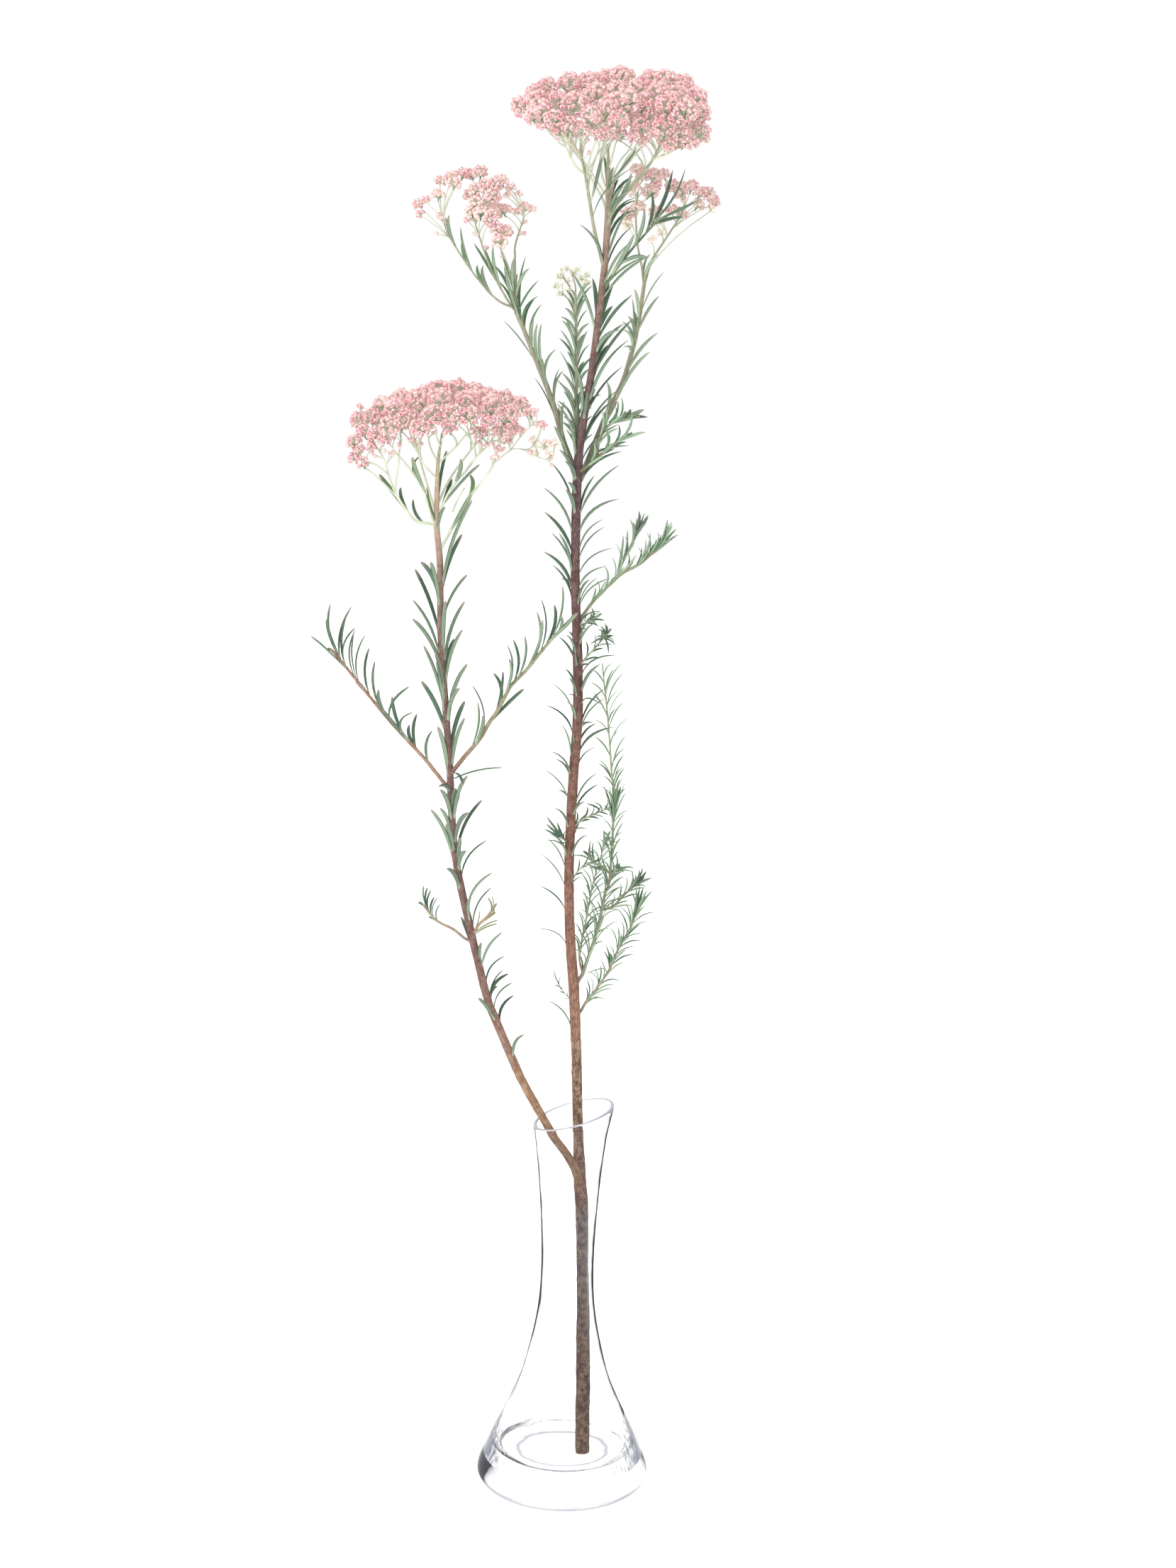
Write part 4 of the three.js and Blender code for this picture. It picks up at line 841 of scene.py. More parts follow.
plan_shoot(
    "left_outer_shoot", radii=(1.1, 0.6), width=2.1, reach=20, look="outer",
    limb=[
        (-69, -18, 399), (-74, -18, 405), (-82, -19, 415), (-90, -21, 424), (-99, -23, 434),
        (-108, -25, 445), (-116, -26, 455), (-123, -28, 464), (-130, -30, 473), (-133, -30, 475),
    ],
    leaves=[
        (417, -79, 431), (424, -87, 440), (424, -91, 434), (431, -100, 449), (432, -89, 441),
        (428, -106, 443), (440, -91, 455), (442, -107, 453), (447, -109, 468), (453, -112, 475),
        (452, -119, 458), (460, -114, 482), (462, -120, 482), (463, -119, 485), (468, -142, 481),
        (469, -119, 486), (470, -124, 491), (473, -121, 497), (474, -132, 498), (472, -134, 490),
    ],
)
plan_shoot(
    "left_crossing_shoot", radii=(1.2, 0.7), width=2.1, reach=20, look="dark",
    limb=[
        (-70, -18, 406), (-62, -20, 417), (-54, -21, 427), (-49, -21, 436), (-44, -22, 444),
        (-38, -22, 456), (-30, -23, 465), (-24, -23, 473), (-16, -23, 483), (-9, -24, 490),
        (-6, -24, 495),
    ],
    leaves=[
        (407, -41, 412), (412, -62, 402), (426, -55, 447), (428, -52, 440), (437, -58, 456),
        (441, -31, 455), (446, -42, 464), (450, -47, 463), (457, -39, 471), (458, -40, 478),
        (462, -37, 481), (464, -31, 483), (470, -22, 492), (475, -25, 496), (479, -23, 503),
        (482, -16, 500), (483, -4, 496), (486, -12, 510), (488, -13, 495),
    ],
)
plan_shoot(
    "left_low_twig", radii=(0.8, 0.6), width=1.4, reach=10, look="dark",
    limb=[
        (-55, -15, 315), (-60, -17, 318), (-66, -18, 323), (-72, -19, 326), (-76, -20, 329),
        (-80, -21, 334), (-82, -22, 337),
    ],
    leaves=[
        (338, -82, 347.5), (336, -80, 346.5), (334.5, -78, 345), (333, -76.3, 341), (331.5, -74.4, 341),
        (329.5, -73, 337), (337, -84.7, 338), (328, -79, 330),
    ],
)
plan_shoot(
    "left_dry_twig", radii=(0.8, 0.6), width=1.4, reach=8, look="dry",
    limb=[(-56, -15, 318.5), (-52, -17, 326), (-48, -17, 330), (-44, -18, 334)],
    leaves=[
        (333, -47.8, 341), (333.5, -45.8, 341.8), (331, -43, 337.8), (327.5, -43.4, 332.7),
        (324, -42.3, 328.2), (322, -42.6, 326), (325, -52, 333),
    ],
)
arching_start = (-41, 26, 648)
plan_shoot(
    "right_arching_shoot", radii=(1.7, 1), width=1.9, reach=20, plane=10,
    limb=[
        (-6, 8, 562), (-10, 12, 572), (-14, 14, 582), (-20, 18, 601), (-28, 21, 620), (-32, 22, 629),
        (-36, 24, 638), arching_start,
    ],
    leaves=[
        (578, -19, 590), (598, -30, 615), (628, -47, 644), (586, -17, 600), (588, -14, 603),
        (604, -17, 620), (605, -15, 619), (613, -26, 625), (618, -19, 630), (620, -27, 643),
        (626, -29, 643), (633, -31, 645), (638, -27, 653), (643, -31, 655), (646, -29, 657),
        (646, -41, 668), (647, -38, 664), (648, -47, 672),
    ],
    forks=[
        (
            [arching_start, (-42, 26, 655), (-45, 27, 670), (-50, 28, 681)], (0.6, 0.35),
            [(652, -50, 664), (655, -40, 668), (658, -52, 672), (662, -42, 676), (665, -49, 680)], [],
        ),
        (
            [arching_start, (-48, 27, 658), (-56, 28, 673), (-63, 28, 692)], (0.6, 0.35),
            [(668, -63, 683), (667, -57, 680), (664, -53, 682)], [],
        ),
        (
            [(-42, 26, 650), (-52, 25, 655), (-64, 25, 668), (-76, 25, 685), (-80, 25, 694)], (0.6, 0.3),
            [
                (660, -58, 672), (662, -61, 672), (672, -70, 691), (676, -69, 684), (684, -78, 696),
                (685, -76, 697),
            ],
            [],
        ),
        (
            [arching_start, (-42, 29, 674), (-42, 30, 683), (-38, 32, 697)], (0.6, 0.35),
            [(650, -29, 665), (656, -36, 677), (660, -34, 671)], [],
        ),
    ],
)
back_fork = (26.5, 46, 663)
plan_shoot(
    "right_back_shoot", radii=(1.8, 1), width=1.9, reach=18, plane=10, look="pale",
    limb=[
        (-5, 9, 562), (-1, 13, 571), (5, 21, 587), (9, 25, 597), (13, 29, 605), (17, 33, 614),
        (20, 37, 625), (22.5, 40, 635), (24.5, 43, 647), (26.5, 46, 664),
    ],
    leaves=[
        (600, 8, 614), (617, 30, 630), (624, 34, 640), (631, 16, 632), (635, 15, 641), (640, 20, 657),
        (640, 21, 651), (638, 15, 645), (639, 18, 648), (642, 24, 650), (645, 34, 659), (656, 36, 671),
        (650, 21, 662), (592, 14, 604), (608, 22, 622),
    ],
    forks=[
        (
            [back_fork, (25, 47, 673), (22.5, 48, 684), (21, 47, 700), (22, 46, 716)], (0.65, 0.4),
            [(672, 29, 680), (670, 33, 680)], [],
        ),
        ([back_fork, (30, 47, 676), (36, 49, 686), (44, 51, 699), (47, 51, 706)], (0.65, 0.4), [], []),
    ],
)
plan_shoot(
    "right_front_shoot", radii=(0.9, 0.35), width=2.4, reach=22, look="green",
    limb=[
        (5, 9, 662), (8, 6, 667), (13, 4, 674.5), (18, 3, 681), (26, 1, 690.5), (31.5, 0, 696.5),
        (36.5, -1, 699),
    ],
    leaves=[
        (672, 20, 690), (678, 28, 678), (687, 24.5, 703.5), (694, 28, 712), (696.5, 38.5, 722.5),
        (697.5, 45, 723.5), (697, 45, 699), (698.5, 52, 707.5, -3),
    ],
)
tiny_fork = (-10, 33, 657)
plan_shoot(
    "right_back_left_shoot", radii=(1.2, 0.7), width=1.6, reach=16, plane=10, rise=0.3,
    limb=[
        (-5, 9, 571), (-6.5, 13, 580), (-7.5, 17, 590), (-8, 20, 599), (-8, 23, 611), (-8.5, 26, 624),
        (-9, 29, 639), (-9.5, 31, 650), (-10, 33, 658),
    ],
    leaves=[
        (583, -11, 586), (588, -18, 602), (600, -18, 614), (612, -17, 629), (617, -14, 624),
        (627, -17, 640), (632, -14, 645), (618, -4, 624), (627, -3, 640),
    ],
    forks=[
        ([tiny_fork, (-13, 34, 662), (-17, 34, 667)], (0.6, 0.4), [], []),
        ([(-9.5, 31, 650), (-13, 33, 655), (-17, 34, 658)], (0.45, 0.3), [], []),
        ([tiny_fork, (-10, 34, 662), (-12, 34, 668)], (0.45, 0.3), [], []),
        ([(-9.5, 31, 651), (-8, 33, 657), (-5, 34, 664)], (0.45, 0.3), [], []),
    ],
)
plan_shoot(
    "right_middle_shoot", radii=(1, 0.6), width=1.3, reach=12, plane=8, look="bright", rise=0.85,
    limb=[
        (-4, 8, 486), (-2, 11, 489), (4, 16, 497), (9, 19, 502), (14, 22, 507), (20, 25, 512),
        (28, 29, 516), (34, 31, 521), (39, 32, 525), (42.5, 33, 531),
    ],
    leaves=[
        (498, 5, 506), (500, 8, 505), (508, 14, 511), (512, 19, 524), (516, 22, 521), (516, 25, 522),
        (518, 28, 519), (519, 29, 528), (520, 31, 532), (521, 32, 529), (522, 33, 536), (523, 35, 530),
        (525, 38, 535), (526, 39, 535), (528, 42, 534), (531, 45, 532), (527, 41, 539), (528, 43, 541),
        (529, 45, 540), (530, 47, 538), (530, 42, 543), (529, 48, 535),
    ],
    forks=[(
        [(16, 23, 509), (19, 26, 517), (23, 28, 525), (28, 31, 536)], (0.7, 0.6),
        [(516, 19, 534), (524, 21, 537)],
        [(24, 541), (26, 543), (28, 545), (30, 546), (32, 544), (27, 547), (31, 541), (29, 542)],
    )],
)
plan_shoot(
    "right_small_shoot", radii=(0.9, 0.6), width=1.8, reach=11, plane=10, look="bright", rise=0.4,
    limb=[(-6, 8, 566), (-1, 4.5, 570), (3, 4, 574), (8, 4, 578), (13, 4, 582), (17, 4, 585), (22, 4, 588)],
    leaves=[(574, 2, 582), (578, 12, 582), (580, 8, 590), (584, 20, 588)],
    forks=[(
        [(4, 4, 574), (5, 5, 584), (10, 6, 592), (15, 6, 594), (19, 6, 596)], (0.7, 0.6),
        [(590, 8, 600), (593, 13, 601)],
        [(18, 599), (21, 600), (24, 597), (26, 598), (28, 600), (30, 596)],
    )],
)
plan_shoot(
    "right_tall_shoot", radii=(1.15, 0.35), width=1.2, reach=14, plane=7, look="bright", pale_from=392,
    limb=[
        (-0.5, 2, 286), (2, 6, 290), (4, 8, 293), (6, 11, 299), (10, 15, 311), (13, 19, 323),
        (15, 21, 335), (17, 22, 341), (18, 24, 356), (18.5, 26, 376), (19, 27, 390), (17, 28, 400),
        (15, 29, 420), (13, 31, 438), (11, 33, 452), (10, 34, 461),
    ],
    leaves=[
        (303, -3, 307), (307, 0, 319), (321, 1, 330), (323, 6, 325), (328, 2, 339), (315, 23, 324),
        (341, 24, 348), (352, 24, 356), (366, 12, 374), (375, 25, 384), (388, 21, 403), (386, 15, 398),
        (384, 22, 398), (382, 13, 396), (400, 24, 409), (404, 9, 411), (406, 23, 416), (402, 23, 409),
        (412, 24, 427), (424, 26, 437), (434, 22, 445), (440, 23, 452), (440, 5, 450), (446, 22, 461),
        (452, 21, 466), (386, 20, 401), (385, 17, 402), (384, 24, 400), (383, 25, 396), (383, 12, 399),
        (384, 16, 394), (385, 21, 395), (387, 17, 398), (386, 19, 397), (388, 15, 395), (390, 22, 399),
        (296, 1, 305), (300, 11, 312), (309, 3, 321), (312, 15, 326), (317, 7, 334), (326, 21, 337),
        (334, 9, 345), (336, 24, 343), (347, 10, 357), (358, 14, 369), (362, 23, 370), (369, 24, 379),
    ],
    forks=[
        (
            [(13.5, 19.5, 326), (20, 23, 328), (27, 26, 335), (33, 28, 340)], (0.7, 0.6),
            [(330, 26, 340), (333, 30, 332)],
            [(29, 351), (31, 350), (32, 347), (33, 353), (35, 354), (37, 352), (40, 348), (36, 349)],
        ),
        (
            [(17.5, 23, 346), (14, 22, 349), (8, 18, 354), (5, 16, 359)], (0.7, 0.6),
            [(349, 11, 356), (352, 7, 352)], [(2, 362), (6, 365), (9, 361)],
        ),
        (
            [(17, 22, 341), (20, 20, 348), (23, 18, 351)], (0.7, 0.6), [],
            [(22, 356), (24, 354), (26, 353), (25, 350), (20, 355)],
        ),
        (
            [
                (4, 8, 293), (2, 12, 300), (2.5, 14, 306), (3.5, 15, 313), (5, 16, 321), (7, 18, 334),
                (8, 18, 340), (10, 18, 349), (12.5, 18, 358), (14.5, 18, 366),
            ],
            (0.6, 0.3), [(306, -1, 314), (318, 9, 326), (328, 3, 336)], [(13, 374), (17, 374), (19, 370)],
        ),
    ],
)
plan_shoot(
    "right_low_shoot", radii=(0.9, 0.6), width=1.2, reach=11, plane=20, look="bright",
    limb=[
        (0.3, 2, 271), (3, 4, 272), (6, 6, 277), (9, 7, 281), (12, 8, 285), (18, 10, 294), (22, 11, 304),
        (26, 12, 312), (30, 12, 320), (33, 13, 330),
    ],
    leaves=[
        (277, 11, 279), (284, 10, 293), (285, 5, 292), (293, 5, 289), (294, 21, 299), (295, 15, 303),
        (296, 17, 304), (297, 18, 302), (299, 28, 304), (304, 22, 306), (306, 18, 317), (306, 23, 313),
        (307, 24, 313), (309, 29, 311), (312, 35, 319), (316, 22, 327), (319, 26, 331), (320, 29, 330),
        (324, 37, 329), (328, 29, 337),
    ],
    tips=[(32, 340), (34, 341), (36, 340), (38, 338), (38, 335), (41, 338)],
)


# The flower heads. Each is a flat-topped bunch of forking pale green stalks, and each stalk ends
# in a small dome of papery round buds: blush pink bracts with rose where the bud is opening.
def threads(starts, middles, ends, thick, thin, material):
    """Fine stalks, each a bow from its start to its end, three-sided and tapered."""
    steps, sides = 5, 3
    shares = np.linspace(0, 1, steps)[None, :, None]
    line = (
        (1 - shares) ** 2 * starts[:, None]
        + 2 * shares * (1 - shares) * middles[:, None]
        + shares**2 * ends[:, None]
    )
    ways = unit(ends - starts + 1e-6)
    across = unit(np.cross(ways, [0.31, 0.95, 0.02]))
    beside = np.cross(ways, across)
    turns = np.arange(sides) * 2 * math.pi / sides
    spokes = np.cos(turns)[:, None] * across[:, None] + np.sin(turns)[:, None] * beside[:, None]
    radii = np.linspace(thick, thin, steps)[None, :, None, None]
    rings = line[:, :, None] + radii * spokes[:, None]
    pattern = skin(rings[0])
    per = steps * sides
    points = np.concatenate([rings.reshape(len(starts), per, 3), line[:, :1], line[:, -1:]], 1)
    return tiled(points, pattern, np.zeros((len(starts), per + 2, 3)), material)


def tiled(points, pattern, marks, material):
    """One shape from many alike: points and marks are given for each copy of the pattern."""
    copies, per = points.shape[:2]
    offsets = (np.arange(copies) * per)[:, None, None]
    return {
        "points": points.reshape(-1, 3),
        "quads": (pattern["quads"][None] + offsets).reshape(-1, 4),
        "fans": (pattern["fans"][None] + offsets).reshape(-1, 3),
        "marks": marks.reshape(-1, 3),
        "material": material,
    }


# A bud's shape: (radius, height) of its rings from foot to tip, and how far up each of them counts.
bud_sides = 7
bud_outline = np.array([(0.52, -0.8), (0.96, -0.2), (0.92, 0.42), (0.45, 0.86)])
bud_levels = np.array([0.12, 0.4, 0.7, 0.93])
bud_turns = np.arange(bud_sides) * 2 * math.pi / bud_sides
bud_rings = np.stack([
    bud_outline[:, :1] * np.cos(bud_turns),
    bud_outline[:, :1] * np.sin(bud_turns),
    np.repeat(bud_outline[:, 1:], bud_sides, 1),
], 2)
plain_bud = skin(bud_rings, start=np.array([0, 0, -1.0]), end=np.array([0, 0, 0.74]))
plain_levels = np.concatenate([np.repeat(bud_levels, bud_sides), [0, 1]])


def buds_at(centres, ways, radii, shades, tones, material):
    """Buds of given sizes, each with its tip turned one way. Its shade is how open it is and its
    tone how faded."""
    across = unit(np.cross(ways, [0.13, 0.21, 0.97]) + 1e-9)
    beside = np.cross(ways, across)
    local = plain_bud["points"]
    points = (
        local[None, :, :1] * across[:, None] + local[None, :, 1:2] * beside[:, None]
        + local[None, :, 2:] * ways[:, None]
    ) * radii[:, None, None] + centres[:, None]
    per = len(local)
    marks = np.stack([
        np.tile(plain_levels, (len(centres), 1)),
        np.repeat(shades[:, None], per, 1),
        np.repeat(tones[:, None], per, 1),
    ], 2)
    return tiled(points, plain_bud, marks, material)


# Square millimetres of a dome's top for each closed bud, and of its side for each opening one.
closed_room = 7.8
open_room = 5.8
draws = np.random.default_rng(7)


def dome_ways(count, high, low, way):
    """Ways out of a dome that looks one way, spread evenly from one height of a unit ball to another."""
    heights = high + (low - high) * (np.arange(count) + 0.5) / count
    spins = np.arange(count) * math.pi * (3 - math.sqrt(5)) + 2 * math.pi * draws.random()
    flat = np.sqrt(1 - heights**2)
    across = unit(np.cross(way, [0.31, 0.95, 0.02]))
    beside = np.cross(way, across)
    outward = (flat * np.cos(spins))[:, None] * across + (flat * np.sin(spins))[:, None] * beside
    return outward + heights[:, None] * way


def cyme(cluster, way, tone, capped, size):
    """The buds of one dome and the fine stalks from the dome's foot up to each of them. A capped
    dome has large closed buds on top; all other buds are smaller and opening."""
    centre, radius = np.array(cluster[:3], float), cluster[3]
    ring = 2 * math.pi * radius**2 / size**2
    shoulder = 0.25 if capped else 1.0
    closed = max(2, round(ring * (1 - shoulder) / closed_room)) if capped else 0
    opening = max(2, round(ring * (shoulder + 0.45) / open_room))
    outs = dome_ways(opening, shoulder, -0.45, way)
    if capped:
        outs = np.vstack([dome_ways(closed, 1, shoulder, way), outs])
    count = closed + opening
    is_open = np.arange(count) >= closed
    outs = unit(outs + 0.16 * draws.standard_normal((count, 3)))
    radii = size * np.where(is_open, draws.uniform(0.92, 1.22, count), draws.uniform(1.2, 1.55, count))
    reach = radius * draws.uniform(0.78, 0.98, count) - (radii - 1.2)
    centres = centre + outs * reach[:, None]
    lift = np.where(is_open, 0.0, 0.3)[:, None]
    ways = unit(outs + lift * way + 0.15 * draws.standard_normal((count, 3)))
    shades = np.where(is_open, draws.uniform(0.7, 1.0, count), draws.uniform(0.0, 0.55, count))
    tones = np.clip(tone + draws.uniform(-0.15, 0.25, count), 0, 1)
    foot = centre - way * 0.6 * radius
    ends = centres - ways * radii[:, None] * 0.8
    feet = np.repeat(foot[None], count, 0)
    middles = (feet + ends) / 2 + way * 0.18 * radius
    return (centres, ways, radii, shades, tones), (feet, middles, ends), foot


def side_sprigs(limbs, gap, size):
    """Single opening buds, or two or three, on short side stalks up the outer half of the stalks."""
    buds, bows = [], []
    for limb in limbs:
        length = np.linalg.norm(np.diff(np.array(limb)[:, :3], axis=0), axis=1).sum()
        for share in np.arange(0.74, 0.98, gap / length):
            place = share * (len(limb) - 1)
            start = curve(limb, [place])[0, :3]
            way = direction(limb, place)
            out = unit(np.cross(way, draws.standard_normal(3)))
            out = unit(out + (0, 0, 0.2))
            tip = start + unit(way + 0.9 * out) * draws.uniform(5, 9)
            for k in range(draws.integers(1, 4)):
                end = tip + draws.uniform(-1.6, 1.6, 3) * (k > 0)
                radius = size * draws.uniform(0.95, 1.2)
                aim = unit(end - start + draws.standard_normal(3))
                buds.append((end, aim, radius, draws.uniform(0.5, 1.0), draws.uniform(0, 0.6)))
                bows.append((start, start + way * 2.5, end - aim * 0.8 * radius))
    return [np.array(part) for part in zip(*buds)], [np.array(part) for part in zip(*bows)]


def stalk_start(cluster, limbs):
    """A near point well below a cluster on the stalks of its head, and the way that stalk runs."""
    x, y, z, radius = cluster
    best = None
    for limb in limbs:
        places = np.arange(0, len(limb) - 0.99, 0.25)
        points = curve(limb, places)[:, :3]
        run = np.hypot(points[:, 0] - x, points[:, 1] - y)
        rise = z - 0.6 * radius - points[:, 2]
        # A start that would make the stalk run flat or fall counts as farther off.
        misses = np.hypot(run, rise) + 2.5 * np.maximum(0, 0.9 * run - rise) + 30 * (rise < 0)
        nearest = int(np.argmin(misses))
        if best is None or misses[nearest] < best[0]:
            best = (misses[nearest], points[nearest], direction(limb, places[nearest]))
    return best[1], best[2]


def flower_head(
    owner, clusters, limbs, tones, bud, bract, capped_above=math.inf, size=1.0, sprig_gap=6.0, thick=0.4
):
    """All buds of a head in one shape, and its stalks and bracts in others. Domes above a height
    are capped with closed buds, and thick is the radius of the stalk that carries a dome."""
    grown, feet, starts, bows, bracts = [], [], [], [], []
    for cluster, tone in zip(clusters, tones):
        start, limb_way = stalk_start(cluster, limbs)
        centre, radius = np.array(cluster[:3], float), cluster[3]
        length = np.linalg.norm(centre - start)
        way = unit((centre - start) / length + (0, 0, 0.7))
        dome, fine, foot = cyme(cluster, way, tone, cluster[2] > capped_above, size)
        grown.append(dome)
        feet.append(fine)
        starts.append(start)
        bows.append((start + foot) / 2 * 0.6 + (start + limb_way * length * 0.45) * 0.4)
        take(owner, [centre], [centre], [radius * 1.1])
        take(owner, [start], [foot], [0.6])
        for _ in range(2 if radius > 3 else 0):
            out = unit(draws.standard_normal(3) * (1, 1, 0.2))
            tip = foot + unit(way * 0.5 + out) * radius * draws.uniform(0.9, 1.3)
            root = foot - way * 1.5
            bend = foot + way * radius * 0.3
            side = unit(np.cross(tip - root, way))
            width, seed = draws.uniform(0.9, 1.3), draws.random()
            bracts.append(leaf_skin(root, bend, tip, side, width, seed, bract))
    sprig_buds, sprig_bows = side_sprigs(limbs, sprig_gap, size)
    grown.append(sprig_buds)
    feet.append(sprig_bows)
    all_buds = buds_at(*[np.concatenate(part) for part in zip(*grown)], bud)
    fine = threads(*[np.concatenate(part) for part in zip(*feet)], 0.3, 0.22, sage_stalk)
    dome_feet = np.array([part[0][0] for part in feet[:-1]])
    stout = threads(np.array(starts), np.array(bows), dome_feet, thick, 0.65 * thick, sage_stalk)
    return all_buds, [fine, stout, *bracts]


def mirrored(clusters, middle):
    """A head's clusters with most of the front ones repeated behind its middle."""
    front = [cluster for cluster in clusters if middle - cluster[1] > 12 and cluster[3] > 4]
    behind = [
        (x + 4 * chance(i, 6) - 2, 2 * middle - y, z - 1, radius)
        for i, (x, y, z, radius) in enumerate(front)
    ]
    return clusters + behind


def bud_material(name, blush, rose, opening, foot, faded, vein):
    """Papery bracts: a greenish foot, a blush or rose side and a deep rose opening at the tip. They glow
    faintly in their blush colour, painted light that stands in for light coming through them, so that a bud
    in the shade of others still glows faintly."""
    material = new_material(
        name, Roughness=0.7, Specular_IOR_Level=0.25, Emission_Color=blush, Emission_Strength=0.17
    )
    marks = add_node(material, "ShaderNodeAttribute", {}, attribute_name="marks").outputs["Vector"]
    parts = add_node(material, "ShaderNodeSeparateXYZ", {"Vector": marks}).outputs
    pale = ramp(material, parts["X"], [(0.0, foot), (0.2, foot), (0.42, blush), (0.8, blush), (1.0, opening)])
    deep = ramp(material, parts["X"], [
        (0.0, foot), (0.15, foot), (0.35, rose), (0.7, blush), (0.8, blush), (0.9, opening),
    ])
    share = ramp(material, parts["Y"], [(0.25, black), (0.8, white)])
    varied = mix(material, share, pale, deep)
    place = add_node(material, "ShaderNodeTexCoord", {}).outputs["Object"]
    patches = noise(material, place, 260.0)
    patch_tone = ramp(material, patches, [(0.38, srgb(238, 216, 208)), (0.6, white)])
    patched = mix(material, 1.0, varied, patch_tone, "MULTIPLY")
    scales = add_node(
        material, "ShaderNodeTexVoronoi", {"Vector": place, "Scale": 900.0}, feature="F1"
    ).outputs["Distance"]
    scaled = ramp(material, scales, [(0.2, white), (0.6, vein)])
    papery = mix(material, 1.0, patched, scaled, "MULTIPLY")
    aged = mix(material, parts["Z"], papery, faded)
    return finish_with(material, aged, bumps(material, scales, 0.7, 0.0005))


def stalk_material(name, fresh, pale):
    """Smooth stalks, sage with paler stretches. They glow faintly in the pale colour, painted light that
    lifts the shade among the buds.
    """
    material = new_material(
        name, Roughness=0.65, Specular_IOR_Level=0.3, Emission_Color=pale, Emission_Strength=0.14
    )
    place = add_node(material, "ShaderNodeTexCoord", {}).outputs["Object"]
    patches = noise(material, place, 160.0, detail=3.0)
    return finish_with(material, ramp(material, patches, [(0.35, fresh), (0.65, pale)]))


pink_buds = bud_material(
    "pink_buds", blush=srgb(238, 220, 218), rose=srgb(228, 192, 202), opening=srgb(186, 80, 112),
    foot=srgb(218, 216, 194), faded=srgb(236, 224, 210), vein=srgb(232, 198, 208),
)
cream_buds = bud_material(
    "cream_buds", blush=srgb(240, 234, 216), rose=srgb(236, 220, 204), opening=srgb(222, 196, 182),
    foot=srgb(210, 214, 190), faded=srgb(216, 216, 198), vein=srgb(236, 226, 210),
)
sage_stalk = stalk_material("sage_stalk", srgb(176, 188, 160), srgb(212, 213, 192))
bract_leaf = leaf_material(
    "bract_leaf", above=srgb(120, 154, 108), below=srgb(188, 200, 172), tip=srgb(166, 156, 130),
    foot=srgb(190, 198, 168),
)
head_bark = bark_material("head_bark", [
    (0.51, srgb(150, 124, 118)), (0.545, srgb(196, 176, 156)), (0.565, srgb(198, 186, 162)),
    (0.58, srgb(184, 198, 166)), (0.6, srgb(140, 110, 106)), (0.668, srgb(160, 138, 125)),
    (0.695, srgb(172, 152, 138)), (0.707, srgb(180, 166, 150)), (0.718, srgb(192, 196, 170)),
], speckle=srgb(218, 210, 198), streak=srgb(220, 206, 196), blotch=srgb(236, 230, 226))
withered_leaf = leaf_material(
    "withered_leaf", above=srgb(176, 146, 136), below=srgb(200, 180, 168), tip=srgb(166, 134, 122),
    foot=srgb(184, 164, 148),
)
shoot_leaf = leaf_material(
    "shoot_leaf", above=srgb(112, 148, 114), below=srgb(184, 200, 176), tip=srgb(150, 140, 122),
    foot=srgb(166, 178, 148),
)
pale_leaf = leaf_material(
    "pale_leaf", above=srgb(140, 168, 136), below=srgb(194, 208, 184), tip=srgb(170, 160, 138),
    foot=srgb(180, 190, 160),
)

